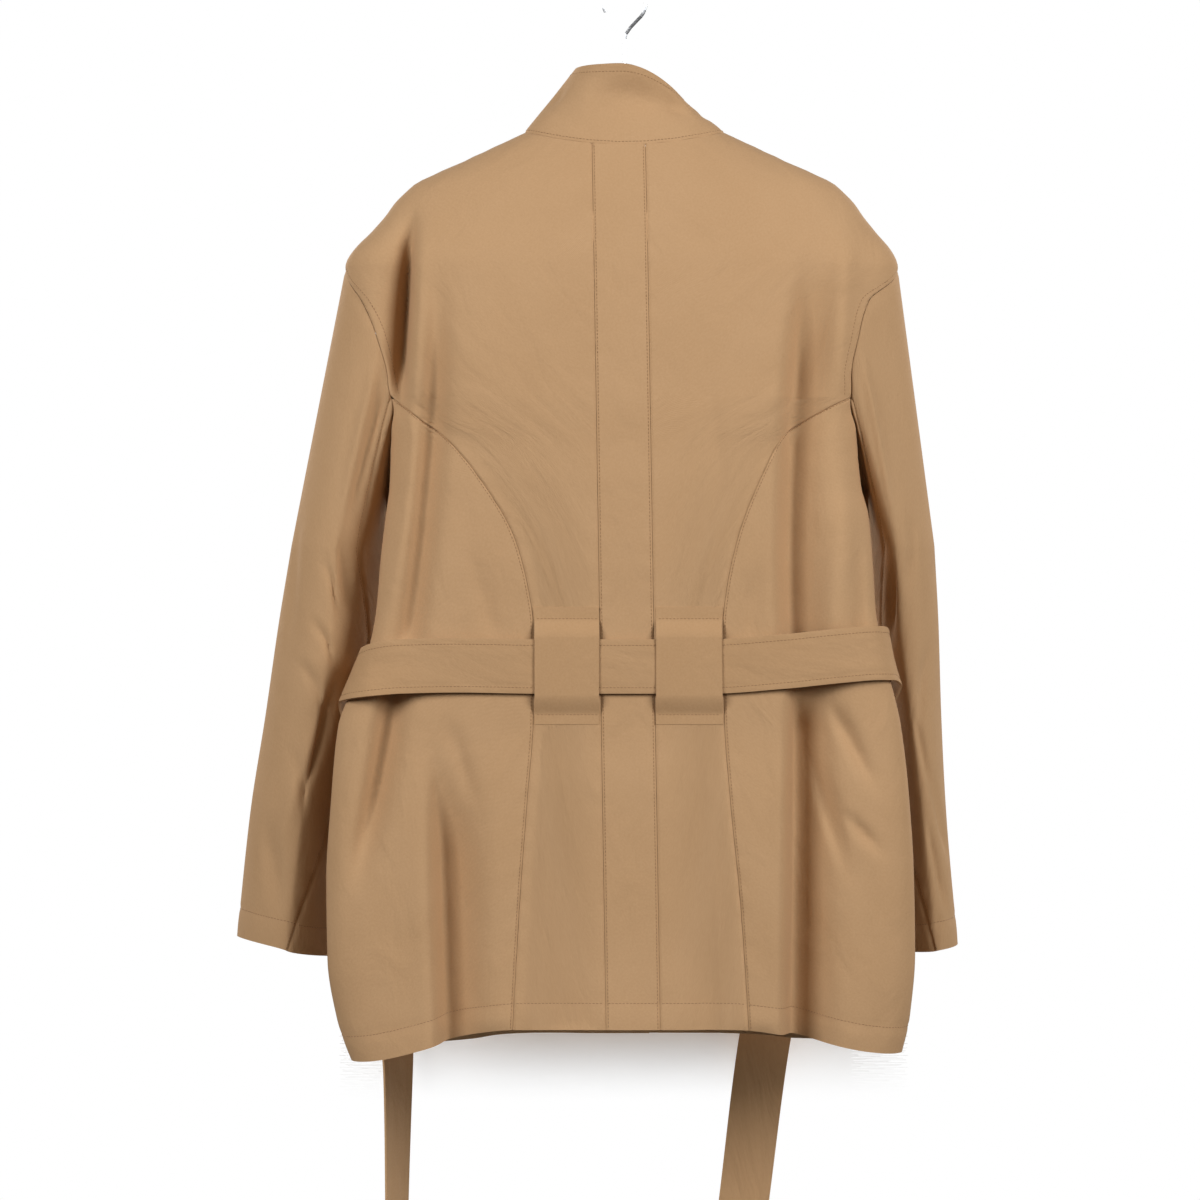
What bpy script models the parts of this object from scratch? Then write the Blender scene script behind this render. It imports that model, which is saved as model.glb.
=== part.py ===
"""A belted cotton jacket that hangs on a wire-hooked hanger, built from its cut pieces.

The back faces -Y and the front faces +Y. +X is the wearer's right and +Z is up. The origin is the top of
the hook's inside, where a rail carries it. Tables are in millimetres; a drop is measured down from the
back neck seam, and the model is built in metres.
"""

import math
from collections import namedtuple

import bmesh
import bpy
import numpy as np

MM = 0.001

# Driving dimensions, in millimetres
HOOK_TO_NECK = 141.0
SHOULDER_TIP_DROP = 100.0
PRINCESS_DROP = 212.0
UNDERARM_DROP = 285.0
HEM_DROP = 736.0
CLOTH = 1.5
COLLAR_CLOTH = 2.4
BELT_CLOTH = 2.4
LOOP_CLOTH = 1.6
BELT_WIDTH = 45.0
SEAM_GAP = 0.3
FRONT_OVERLAP = 22.0
FRONT_UNDERLAP_DEPTH = 4.0
HANGER_RADIUS = 8.0
HANGER_HALF_SPAN = 168.0
HANGER_BOW = 12.0
HANGER_BOW_HALF = 118.0
HOOK_RADIUS = 1.4
CROOK_RADIUS = 18.0

# The body's rings: its side edges, the depth of the edge, back and front, and how round each half is (1 is an
# ellipse, and less is squarer).
BodyRow = namedtuple("BodyRow", "drop left_x right_x side_y back_y front_y back_round front_round")
BODY = [
    BodyRow(-14, -85, 85, 0, -38, 62, 1.00, 1.00),
    BodyRow(8, -132, 132, 0, -44, 66, 1.00, 1.00),
    BodyRow(32, -181, 181, 0, -50, 69, 1.00, 1.00),
    BodyRow(62, -207, 206, 0, -55, 72, 0.92, 0.95),
    BodyRow(100, -236, 231, -2, -60, 74, 0.82, 0.92),
    BodyRow(150, -229, 222, -7, -64, 76, 0.74, 0.92),
    BodyRow(200, -212, 206, -8, -66, 76, 0.64, 0.94),
    BodyRow(225, -199, 196, -6, -67, 76, 0.57, 0.95),
    BodyRow(250, -197, 196, -4, -67, 75, 0.51, 0.97),
    BodyRow(285, -198, 199, 0, -68, 74, 0.46, 1.00),
    BodyRow(310, -201, 205, -5, -68, 73, 0.46, 1.02),
    BodyRow(348, -205, 208, -15, -68, 71, 0.46, 1.05),
    BodyRow(388, -208, 210, -26, -67, 69, 0.48, 1.10),
    BodyRow(432, -217, 218, -31, -67, 68, 0.50, 1.12),
    BodyRow(484, -240, 231, -30, -67, 69, 0.50, 1.12),
    BodyRow(540, -246, 238, -27, -71, 71, 0.50, 1.10),
    BodyRow(600, -250, 242, -25, -74, 73, 0.50, 1.06),
    BodyRow(660, -249, 243, -25, -76, 74, 0.50, 1.02),
    BodyRow(705, -241, 239, -25, -77, 75, 0.50, 1.00),
    BodyRow(736, -229, 232, -25, -77, 75, 0.50, 1.00),
]

# How far back and forward of the shoulder line each armhole is cut.
ArmholeRow = namedtuple("ArmholeRow", "drop left_back left_front right_back right_front")
ARMHOLE = [
    ArmholeRow(100, -2, -2, -2, -2),
    ArmholeRow(130, -31, 18, -38, 18),
    ArmholeRow(160, -40, 28, -43, 28),
    ArmholeRow(190, -43, 32, -45, 32),
    ArmholeRow(212, -40, 32, -42, 32),
    ArmholeRow(240, -28, 28, -29, 28),
    ArmholeRow(262, -14, 20, -14, 20),
    ArmholeRow(285, 0, 0, 0, 0),
]

# Where the back is pieced: two straight seams each side of the centre panel and two curved side seams.
SeamRow = namedtuple("SeamRow", "drop left_x right_x")
CENTRE_SEAMS = [SeamRow(-14, -27.6, 17.2), SeamRow(736, -15.8, 29.0)]
PRINCESS_SEAMS = [
    SeamRow(212, -194, 189),
    SeamRow(222, -182, 168),
    SeamRow(232, -169, 149),
    SeamRow(244, -152, 133),
    SeamRow(281, -120, 112),
    SeamRow(331, -91, 93),
    SeamRow(373, -80, 84),
    SeamRow(402, -76, 81),
    SeamRow(474, -76, 82),
    SeamRow(547, -81, 87),
    SeamRow(630, -87, 95),
    SeamRow(736, -93, 102),
]

# Folds run down a half of the body: a height above the cloth (negative is a hollow), the width over which it
# dies away on each side, and the share of its length over which it grows and fades.
Fold = namedtuple(
    "Fold", "name drop_top drop_bottom x_top x_mid x_bottom height left_width right_width fade_top fade_bottom"
)
BACK_FOLDS = [
    Fold("left sleeve-head groove", 40, 240, -179, -184, -190, -22, 20, 7, 0.55, 0.35),
    Fold("left shoulder-blade hollow", 70, 430, -158, -166, -186, -9, 11, 15, 0.50, 0.05),
    Fold("right shoulder-blade hollow", 70, 445, 158, 141, 143, -11, 8, 24, 0.40, 0.05),
    Fold("right sleeve-head ridge", 45, 240, 186, 181, 176, 7, 12, 10, 0.40, 0.40),
    Fold("right skirt hollow", 400, 750, 146, 144, 142, -16, 9, 30, 0.15, 0.02),
    Fold("left skirt hollow", 480, 750, -157, -152, -147, -11, 9, 34, 0.45, 0.02),
    Fold("left side hollow", 420, 640, -188, -205, -234, -12, 12, 14, 0.15, 0.50),
]
FRONT_FOLDS = [
    Fold("left front sleeve-head hollow", 55, 400, -176, -166, -160, -12, 18, 10, 0.45, 0.30),
    Fold("right front sleeve-head hollow", 55, 400, 172, 162, 158, -12, 10, 18, 0.45, 0.30),
    Fold("left front skirt hollow", 430, 750, -118, -124, -132, -11, 24, 12, 0.40, 0.02),
    Fold("right front skirt hollow", 430, 750, 128, 136, 146, -11, 12, 24, 0.40, 0.02),
]
Half = namedtuple("Half", "name sign depth roundness folds neck_dip hem_centre hem_left hem_right")
BACK = Half("back", -1, "back_y", "back_round", BACK_FOLDS, 14, 0, 29, 22)
FRONT = Half("front", 1, "front_y", "front_round", FRONT_FOLDS, 76, 20, 29, 22)
HEM_FLAT_HALF = 90.0
HEM_SHARE_DROP = 450.0

# The sleeves' sections: where the outer fold, the back ridge, the inner fold and the front ridge lie, the angle
# of the two seams round the section, and how much lower the inner fold is than the outer one.
SleeveRow = namedtuple(
    "SleeveRow",
    "drop outer_x outer_y ridge_x ridge_y inner_x inner_y front_x front_y hind_angle fore_angle slant",
)
LEFT_SLEEVE = [
    SleeveRow(335, -283, 12, -242, -32, -204, 38, -242, 86, 122, 228, 6),
    SleeveRow(400, -294, 15, -246, -29, -216, 42, -252, 93, 140, 226, 6),
    SleeveRow(480, -306, 20, -257, -22, -232, 46, -266, 96, 160, 224, 8),
    SleeveRow(560, -319, 25, -272, -16, -240, 48, -282, 94, 136, 222, 10),
    SleeveRow(668, -331, 30, -285, -12, -243, 47, -290, 88, 93, 220, 18),
]
RIGHT_SLEEVE = [
    SleeveRow(335, 264, 18, 228, -20, 211, 44, 230, 88, 122, 228, 4),
    SleeveRow(400, 268, 24, 233, -9, 215, 52, 236, 96, 140, 226, 4),
    SleeveRow(480, 271, 30, 243, -3, 222, 58, 241, 100, 150, 224, 4),
    SleeveRow(560, 275, 32, 252, -4, 222, 58, 246, 99, 132, 222, 6),
    SleeveRow(674, 284, 34, 263, -4, 216, 58, 252, 94, 93, 220, 8),
]
SLEEVE_ROUND = 1.35
ARMPIT_CLEARANCE = 4.0

# The collar's top edge, at the four sides of the neck, and the hollow of its stand at mid height.
CollarPoint = namedtuple("CollarPoint", "x y drop")
COLLAR_LEFT = CollarPoint(-42, 0, -68)
COLLAR_BACK = CollarPoint(-4, -36, -68)
COLLAR_RIGHT = CollarPoint(50, 2, -42)
COLLAR_FRONT = CollarPoint(0, 40, 0)
COLLAR_HOLLOW = 6.0
COLLAR_FRONT_GAP_DEG = 2.5
COLLAR_FRONT_LIFT = 0.9

# The belt's own line from the end of one tail, round the back, to the end of the other. Facing turns its outer
# face round the vertical from the back (0) to the front (180), and lift tips it up.
BeltRow = namedtuple("BeltRow", "x y drop facing lift")
BELT = [
    BeltRow(-199, 92, 1004, -118, 0),
    BeltRow(-198, 92, 900, -122, 0),
    BeltRow(-197, 92, 790, -128, 0),
    BeltRow(-203, 86, 710, -140, 0),
    BeltRow(-213, 68, 630, -138, 0),
    BeltRow(-223, 42, 560, -118, 2),
    BeltRow(-227, 28, 512, -110, 8),
    BeltRow(-230, 12, 476, -102, 16),
    BeltRow(-232, -6, 456, -94, 22),
    BeltRow(-231, -26, 447, -84, 24),
    BeltRow(-226, -48, 443, -58, 22),
    BeltRow(-211, -63, 439, -30, 14),
    BeltRow(-186, -69, 436, -10, 4),
    BeltRow(-140, -70, 435, -2, 0),
    BeltRow(-70, -70, 436, 0, 0),
    BeltRow(0, -70, 436, 0, 0),
    BeltRow(70, -70, 436, 0, 0),
    BeltRow(130, -70, 432, 1, 0),
    BeltRow(180, -67, 427, 8, 0),
    BeltRow(208, -60, 425, 26, 4),
    BeltRow(222, -45, 426, 56, 12),
    BeltRow(226, -20, 434, 88, 18),
    BeltRow(217, 8, 457, 112, 8),
    BeltRow(196, 36, 494, 130, 4),
    BeltRow(174, 62, 550, 148, 0),
    BeltRow(153, 81, 620, 164, 0),
    BeltRow(136, 91, 700, 172, 0),
    BeltRow(122, 94, 770, 174, 0),
    BeltRow(106, 94, 895, 172, 0),
    BeltRow(95, 93, 985, 170, 0),
]
BELT_STATIONS = 84

LoopRow = namedtuple("LoopRow", "drop lift")
LOOP_LIFT = [
    LoopRow(387, 0.4),
    LoopRow(396, 1.8),
    LoopRow(406, 4.6),
    LoopRow(466, 4.6),
    LoopRow(475, 1.8),
    LoopRow(484, 0.4),
]
LOOP_EDGE = 1.0

# Rows and columns of the panels' grids
NECK_ROWS = [-14, 0, 14, 32, 50, 74, 100]
ARMHOLE_ROWS = [118, 138, 160, 186, 212, 222, 238, 256, 272]
SIDE_TIP_DROP = 213
SKIRT_ROWS = [285, 310, 335, 360, 388, 414, 440, 466, 495, 525, 560, 600, 640, 680, 710, 736]
CENTRE_COLUMNS = 3
BACK_COLUMNS = 11
SIDE_COLUMNS = 8
FRONT_COLUMNS = 13
LOFT_STEPS = 5
SLEEVE_STEPS = 11
COLLAR_COLUMNS = 42
COLLAR_STEPS = 6
LINE_POINTS = 361

CAMEL = (0.50, 0.32, 0.17, 1.0)
CAMEL_DARK = (0.44, 0.28, 0.15, 1.0)
BEECH = (0.62, 0.45, 0.28, 1.0)
STEEL = (0.75, 0.75, 0.76, 1.0)


def clear_scene():
    """Removes what the scene starts with."""
    for thing in list(bpy.data.objects):
        bpy.data.objects.remove(thing)


def ease(value):
    """A smooth step from 0 to 1."""
    t = np.clip(value, 0.0, 1.0)
    return t * t * (3.0 - 2.0 * t)


def smooth(table, column, at, key="drop"):
    """One column of a table at any key value, on a smooth curve through its rows that never overshoots them."""
    knots = np.array([getattr(row, key) for row in table], float)
    values = np.array([getattr(row, column) for row in table], float)
    steps = np.diff(knots)
    secants = np.diff(values) / steps
    product = secants[:-1] * secants[1:]
    total = secants[:-1] + secants[1:]
    inner = np.where(product > 0, 2 * product / np.where(total == 0, 1, total), 0.0)
    slopes = np.concatenate([secants[:1], inner, secants[-1:]])
    at = np.clip(np.asarray(at, float), knots[0], knots[-1])
    i = np.clip(np.searchsorted(knots, at) - 1, 0, len(steps) - 1)
    t = (at - knots[i]) / steps[i]
    rise = values[i] * (1 + 2 * t) * (1 - t) ** 2 + values[i + 1] * t * t * (3 - 2 * t)
    return rise + steps[i] * (slopes[i] * t * (1 - t) ** 2 + slopes[i + 1] * t * t * (t - 1))


def fold_height(folds, x, drop):
    """How far the folds lift the cloth off its plain form."""
    height = np.zeros_like(x)
    for fold in folds:
        t = (drop - fold.drop_top) / (fold.drop_bottom - fold.drop_top)
        if not 0 < t < 1:
            continue
        middle = fold.x_top * (1 - t) * (1 - 2 * t) + 4 * fold.x_mid * t * (1 - t) + fold.x_bottom * t * (2 * t - 1)
        off = x - middle
        width = np.where(off < 0, fold.left_width, fold.right_width)
        strength = ease(t / fold.fade_top) * ease((1 - t) / fold.fade_bottom)
        height += fold.height * strength * np.exp(-((off / width) ** 2))
    return height


def line_points(half, drop):
    """Points across one half of the body at a drop, from its left edge to its right edge."""
    row = {column: float(smooth(BODY, column, drop)) for column in BodyRow._fields[1:]}
    angle = np.linspace(0.0, math.pi, LINE_POINTS)
    on_left = angle < math.pi / 2
    across = np.abs(np.cos(angle)) ** row[half.roundness]
    x = np.where(on_left, row["left_x"], row["right_x"]) * across
    y = row["side_y"] + (row[half.depth] - row["side_y"]) * np.sin(angle) ** row[half.roundness]
    y += half.sign * fold_height(half.folds, x, drop) * (1 - across**12)
    neck = half.neck_dip * (1 - across**2) * ease((SHOULDER_TIP_DROP - drop) / (SHOULDER_TIP_DROP - NECK_ROWS[0]))
    edge = np.where(on_left, -row["left_x"], row["right_x"])
    corner = ease((np.abs(x) - HEM_FLAT_HALF) / np.maximum(edge - HEM_FLAT_HALF, 1.0))
    corner_drop = np.where(on_left, half.hem_left, half.hem_right) - half.hem_centre
    hem_share = np.clip((drop - HEM_SHARE_DROP) / (HEM_DROP - HEM_SHARE_DROP), 0.0, 1.0)
    hem = (half.hem_centre + corner_drop * corner) * hem_share
    return np.stack([x, y, -(HOOK_TO_NECK + drop + neck + hem)], axis=1)


def unit(vectors):
    """Vectors made one long."""
    return vectors / np.linalg.norm(vectors, axis=-1, keepdims=True)


def line(half, drop):
    """Points across one half of the body at a drop, and the way the cloth faces there."""
    points = line_points(half, drop)
    along = np.gradient(points, axis=0)
    down = line_points(half, min(drop + 1, HEM_DROP)) - line_points(half, max(drop - 1, NECK_ROWS[0]))
    return points, unit(half.sign * np.cross(along, down))


def between(points, normals, x_from, x_to, columns, inset):
    """Even steps along a line of the body between two places across it."""
    run = np.concatenate([[0.0], np.cumsum(np.linalg.norm(np.diff(points, axis=0), axis=1))])
    ends = np.interp([x_from, x_to], points[:, 0], run)
    at = np.linspace(ends[0] + inset, ends[1] - inset, columns + 1)
    placed = np.stack([np.interp(at, run, points[:, i]) for i in range(3)], axis=1)
    facing = np.stack([np.interp(at, run, normals[:, i]) for i in range(3)], axis=1)
    return placed, unit(facing)


def edge_x(drop, side, face):
    """How far across a panel of the body reaches at a drop, on its left or right side."""
    edge = float(smooth(BODY, f"{side}_x", drop))
    if not SHOULDER_TIP_DROP < drop < UNDERARM_DROP:
        return edge
    middle, depth = (float(smooth(BODY, column, drop)) for column in ("side_y", f"{face}_y"))
    roundness = float(smooth(BODY, f"{face}_round", drop))
    share = np.clip((float(smooth(ARMHOLE, f"{side}_{face}", drop)) - middle) / (depth - middle), 0.0, 1.0)
    return edge * (1 - share ** (2 / roundness)) ** (roundness / 2)


def outer_back_x(drop, side):
    """The outer edge of a back panel: shoulder and armhole, then the princess seam."""
    if drop < PRINCESS_DROP:
        return edge_x(drop, side, "back")
    return float(smooth(PRINCESS_SEAMS, f"{side}_x", drop))


def panel(half, rows, columns, bounds, sink=None):
    """A grid of points and normals for one panel of the body, with half the seam's gap off each edge."""
    grid, facing = [], []
    for drop in rows:
        points, normals = line(half, drop)
        if sink is not None:
            points = points - normals * sink(points[:, 0])[:, None]
        placed, normal = between(points, normals, *bounds(drop), columns, SEAM_GAP / 2)
        grid.append(placed)
        facing.append(normal)
    return np.array(grid), np.array(facing)


def wall(name, outer, facing, thickness, material):
    """A closed cloth wall: the outer points, the same points moved in by the cloth's thickness, and its rims."""
    rows, columns = outer.shape[:2]
    inner = outer - facing * thickness
    vertices = np.concatenate([outer.reshape(-1, 3), inner.reshape(-1, 3)]) * MM
    shift = rows * columns

    def at(i, j, layer):
        return layer * shift + i * columns + j

    faces = []
    for i in range(rows - 1):
        for j in range(columns - 1):
            faces.append((at(i, j, 0), at(i + 1, j, 0), at(i + 1, j + 1, 0), at(i, j + 1, 0)))
            faces.append((at(i, j, 1), at(i, j + 1, 1), at(i + 1, j + 1, 1), at(i + 1, j, 1)))
    rim = [(0, j) for j in range(columns)] + [(i, columns - 1) for i in range(1, rows)]
    rim += [(rows - 1, j) for j in range(columns - 2, -1, -1)] + [(i, 0) for i in range(rows - 2, 0, -1)]
    for here, there in zip(rim, rim[1:] + rim[:1]):
        early, late = sorted((here, there))
        faces.append((at(*early, 0), at(*late, 0), at(*late, 1)))
        faces.append((at(*early, 0), at(*late, 1), at(*early, 1)))
    mesh = bpy.data.meshes.new(name)
    mesh.from_pydata([tuple(v) for v in vertices], [], faces)
    return finish(name, mesh, material)


def finish(name, mesh, material):
    """Turns the faces outwards, shades them smooth and puts the piece in the jacket's collection."""
    work = bmesh.new()
    work.from_mesh(mesh)
    bmesh.ops.recalc_face_normals(work, faces=work.faces)
    work.to_mesh(mesh)
    work.free()
    mesh.shade_smooth()
    mesh.set_sharp_from_angle(angle=math.radians(50))
    mesh.materials.append(material)
    piece = bpy.data.objects.new(name, mesh)
    COLLECTION.objects.link(piece)
    return piece


def make_material(name, colour, roughness, metallic=0.0):
    """A plain Principled finish."""
    material = bpy.data.materials.new(name)
    material.use_nodes = True
    shader = material.node_tree.nodes["Principled BSDF"]
    shader.inputs["Base Color"].default_value = colour
    shader.inputs["Roughness"].default_value = roughness
    shader.inputs["Metallic"].default_value = metallic
    return material


def build_back(cloth):
    """The centre panel, the two back panels and the two side panels that the curved seams join."""
    rows = sorted(NECK_ROWS + ARMHOLE_ROWS + SKIRT_ROWS + [SIDE_TIP_DROP])
    side_rows = [drop for drop in rows if drop >= SIDE_TIP_DROP]

    def centre(drop, side):
        return float(smooth(CENTRE_SEAMS, f"{side}_x", drop))

    pieces = {
        "back_centre": (rows, CENTRE_COLUMNS, lambda d: (centre(d, "left"), centre(d, "right"))),
        "back_left": (rows, BACK_COLUMNS, lambda d: (outer_back_x(d, "left"), centre(d, "left"))),
        "back_right": (rows, BACK_COLUMNS, lambda d: (centre(d, "right"), outer_back_x(d, "right"))),
        "side_left": (side_rows, SIDE_COLUMNS, lambda d: (edge_x(d, "left", "back"), outer_back_x(d, "left"))),
        "side_right": (side_rows, SIDE_COLUMNS, lambda d: (outer_back_x(d, "right"), edge_x(d, "right", "back"))),
    }
    for name, (drops, columns, bounds) in pieces.items():
        wall(name, *panel(BACK, drops, columns, bounds), CLOTH, cloth)


def build_fronts(cloth):
    """Two plain fronts; the left one runs on under the right one at the opening."""
    rows = NECK_ROWS + ARMHOLE_ROWS + SKIRT_ROWS

    def under(x):
        return FRONT_UNDERLAP_DEPTH * ease((x + 3 * FRONT_OVERLAP) / (2 * FRONT_OVERLAP))

    left = panel(FRONT, rows, FRONT_COLUMNS, lambda d: (edge_x(d, "left", "front"), FRONT_OVERLAP), under)
    right = panel(FRONT, rows, FRONT_COLUMNS, lambda d: (-FRONT_OVERLAP, edge_x(d, "right", "front")))
    wall("front_left", *left, CLOTH, cloth)
    wall("front_right", *right, CLOTH, cloth)


def armhole_loop(side):
    """The cut edge of an armhole from the shoulder tip down the back, under the arm and up the front."""
    stops = [(BACK, drop) for drop in [SHOULDER_TIP_DROP] + ARMHOLE_ROWS + [UNDERARM_DROP]]
    stops += [(FRONT, drop) for drop in reversed(ARMHOLE_ROWS)]
    points, normals = [], []
    for half, drop in stops:
        along, facing = line(half, drop)
        x = edge_x(drop, side, half.name)
        i = int(np.argmin(np.abs(along[:, 0] - x)))
        if drop in (SHOULDER_TIP_DROP, UNDERARM_DROP):
            i = 0 if side == "left" else len(along) - 1
            points.append(along[i])
            normals.append(facing[i])
            continue
        points.append([np.interp(x, along[:, 0], along[:, k]) for k in range(3)])
        normals.append(unit(np.array([np.interp(x, along[:, 0], facing[:, k]) for k in range(3)])))
    return np.array(points), np.array(normals)


def ring(row, angles):
    """One section of a sleeve at the given angles: outer fold at 0, back ridge at 90, inner fold at 180 degrees."""
    quarter = np.radians(angles)
    centre = np.array([(row["outer_x"] + row["inner_x"]) / 2, (row["ridge_y"] + row["front_y"]) / 2])
    arms = {key: np.array([row[f"{key}_x"], row[f"{key}_y"]]) - centre for key in ("outer", "ridge", "inner", "front")}
    c, s = np.cos(quarter), np.sin(quarter)
    side = np.where((c > 0)[:, None], arms["outer"], arms["inner"])
    depth = np.where((s > 0)[:, None], arms["ridge"], arms["front"])
    flat = centre + side * (np.abs(c) ** SLEEVE_ROUND)[:, None] + depth * (np.abs(s) ** SLEEVE_ROUND)[:, None]
    drop = row["drop"] + row["slant"] * (1 - c) / 2
    return np.column_stack([flat, -(HOOK_TO_NECK + drop)])


def sleeve_grid(side, table):
    """Rings of a sleeve from its armhole to its cuff, and the way the cloth faces."""
    hole, hole_normals = armhole_loop(side)
    count = len(hole)
    hind, under, fore = 5, count // 2, count - 5
    along = unit(np.roll(hole, -1, axis=0) - np.roll(hole, 1, axis=0))
    beyond = -1 if side == "left" else 1
    away = unit(np.cross(along, hole_normals))
    away *= np.sign(beyond * away[1:hind, 0].mean())
    first = hole + away * SEAM_GAP

    def section(drop):
        row = {column: float(smooth(table, column, drop)) for column in SleeveRow._fields}
        row["drop"] = drop
        stops = [0, hind, under, fore, count]
        angles = np.interp(np.arange(count), stops, [0, row["hind_angle"], 180, row["fore_angle"], 360])
        return ring(row, angles)

    top = section(table[0].drop)
    rings = [first]
    near = np.cos(np.pi * (np.arange(count) - under) / count) ** 4
    clear = np.array([beyond * ARMPIT_CLEARANCE, 0.0, 0.0])
    for t in np.linspace(0, 1, LOFT_STEPS + 1)[1:-1]:
        rings.append(first + (top - first) * t + clear * (near * math.sin(math.pi * t) ** 0.5)[:, None])
    rings += [section(drop) for drop in np.linspace(table[0].drop, table[-1].drop, SLEEVE_STEPS + 1)]
    grid = np.array(rings)
    closed = np.concatenate([grid[:, -1:], grid, grid[:, :1]], axis=1)
    around = closed[:, 2:] - closed[:, :-2]
    down = np.gradient(grid, axis=0)
    facing = unit(np.cross(around, down))
    outwards = np.sum(facing * (grid - grid.mean(axis=1, keepdims=True)), axis=(1, 2))
    facing *= np.where(outwards < 0, -1, 1)[:, None, None]
    seam = unit(facing[0] + hole_normals)
    facing[0] = unit(seam - away * np.maximum(np.sum(seam * away, axis=1, keepdims=True), 0.0))
    return grid, facing, hind, fore


def build_sleeve(side, table, cloth):
    """A two-piece sleeve: the upper piece over the outer fold and the under piece inside the arm."""
    grid, facing, hind, fore = sleeve_grid(side, table)
    count = grid.shape[1]
    pieces = {
        f"sleeve_{side}_under": np.arange(hind, fore + 1),
        f"sleeve_{side}_upper": np.arange(fore, count + hind + 1) % count,
    }
    for name, columns in pieces.items():
        points = grid[:, columns].copy()
        first, last = unit(points[:, 1] - points[:, 0]), unit(points[:, -2] - points[:, -1])
        points[:, 0] += first * SEAM_GAP / 2
        points[:, -1] += last * SEAM_GAP / 2
        wall(name, points, facing[:, columns], CLOTH, cloth)


def neck_point(angle):
    """The neck seam at an angle from the front opening (0) by the left shoulder (90) and the back (180)."""
    half = FRONT if math.cos(angle) > 0 else BACK
    points = line_points(half, NECK_ROWS[0])
    x = math.sin(angle) * (BODY[0].left_x if math.sin(angle) > 0 else -BODY[0].right_x)
    return np.array([np.interp(x, points[:, 0], points[:, k]) for k in range(3)])


def build_collar(cloth):
    """A stand collar that leans in from the neck seam, hollow at mid height and open at the front."""
    gap = math.radians(COLLAR_FRONT_GAP_DEG)
    grid = []
    for v in np.linspace(0, 1, COLLAR_STEPS + 1):
        row = []
        for angle in np.linspace(gap, 2 * math.pi - gap, COLLAR_COLUMNS + 1):
            lift = SEAM_GAP * (1 + abs(math.sin(angle))) + COLLAR_FRONT_LIFT * max(math.cos(angle), 0.0)
            base = neck_point(angle) + np.array([0, 0, lift])
            side = COLLAR_LEFT if math.sin(angle) > 0 else COLLAR_RIGHT
            end = COLLAR_FRONT if math.cos(angle) > 0 else COLLAR_BACK
            s, c = abs(math.sin(angle)), abs(math.cos(angle))
            middle_x = COLLAR_BACK.x * c * c
            drop = side.drop * s * s + end.drop * c * c
            top = np.array([middle_x + side.x * s, side.y * s * s + end.y * c, -(HOOK_TO_NECK + drop)])
            hollow = COLLAR_HOLLOW * math.sin(math.pi * v) * c if math.cos(angle) < 0 else 0.0
            row.append(base + (top - base) * v + np.array([0, hollow, 0]))
        grid.append(row)
    grid = np.array(grid)
    facing = unit(np.cross(np.gradient(grid, axis=1), np.gradient(grid, axis=0)))
    outwards = np.sum(facing[..., :2] * (grid - grid.mean(axis=1, keepdims=True))[..., :2])
    wall("collar", grid, facing if outwards > 0 else -facing, COLLAR_CLOTH, cloth)


def belt_grid():
    """Stations along the belt: its two edges and its middle, and the way its outer face looks."""
    knots = np.array([[row.x, row.y, -(HOOK_TO_NECK + row.drop), row.facing, row.lift] for row in BELT])
    run = np.concatenate([[0.0], np.cumsum(np.linalg.norm(np.diff(knots[:, :3], axis=0), axis=1))])
    Knot = namedtuple("Knot", "run x y z facing lift")
    table = [Knot(r, *k) for r, k in zip(run, knots)]
    at = np.linspace(0, run[-1], BELT_STATIONS + 1)
    middle = np.stack([smooth(table, column, at, "run") for column in "xyz"], axis=1)
    facing = np.radians(smooth(table, "facing", at, "run"))
    lift = np.radians(smooth(table, "lift", at, "run"))
    along = unit(np.gradient(middle, axis=0))
    look = np.stack([np.sin(facing) * np.cos(lift), -np.cos(facing) * np.cos(lift), np.sin(lift)], axis=1)
    look = unit(look - along * np.sum(look * along, axis=1, keepdims=True))
    across = np.cross(along, look)
    outer = middle + look * BELT_CLOTH / 2
    columns = [outer + across * BELT_WIDTH * share for share in (-0.5, 0.0, 0.5)]
    return np.stack(columns, axis=1), np.stack([look] * 3, axis=1)


def build_loops(cloth):
    """Two wide belt loops, made from the back's own points and lifted clear of the belt."""
    rows = np.unique(np.concatenate([[row.drop for row in LOOP_LIFT], np.linspace(406, 466, 4)]))
    spans = {
        "belt_loop_left": lambda d: (outer_back_x(d, "left") + LOOP_EDGE, -20.5 - LOOP_EDGE),
        "belt_loop_right": lambda d: (24.5 + LOOP_EDGE, outer_back_x(d, "right") - LOOP_EDGE),
    }
    for name, bounds in spans.items():
        grid, facing = panel(BACK, rows, 4, bounds)
        lift = smooth(LOOP_LIFT, "lift", rows)[:, None, None]
        wall(name, grid + facing * (lift + LOOP_CLOTH), facing, LOOP_CLOTH, cloth)


def build_rod(name, points, radius, resolution, material):
    """A round bar along a line of points, with filled ends."""
    curve = bpy.data.curves.new(name, "CURVE")
    curve.dimensions = "3D"
    curve.bevel_depth = radius * MM
    curve.bevel_resolution = resolution
    curve.use_fill_caps = True
    spline = curve.splines.new("POLY")
    spline.points.add(len(points) - 1)
    for point, place in zip(spline.points, points):
        point.co = (*(np.array(place) * MM), 1.0)
    curve.materials.append(material)
    rod = bpy.data.objects.new(name, curve)
    COLLECTION.objects.link(rod)
    return rod


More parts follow.
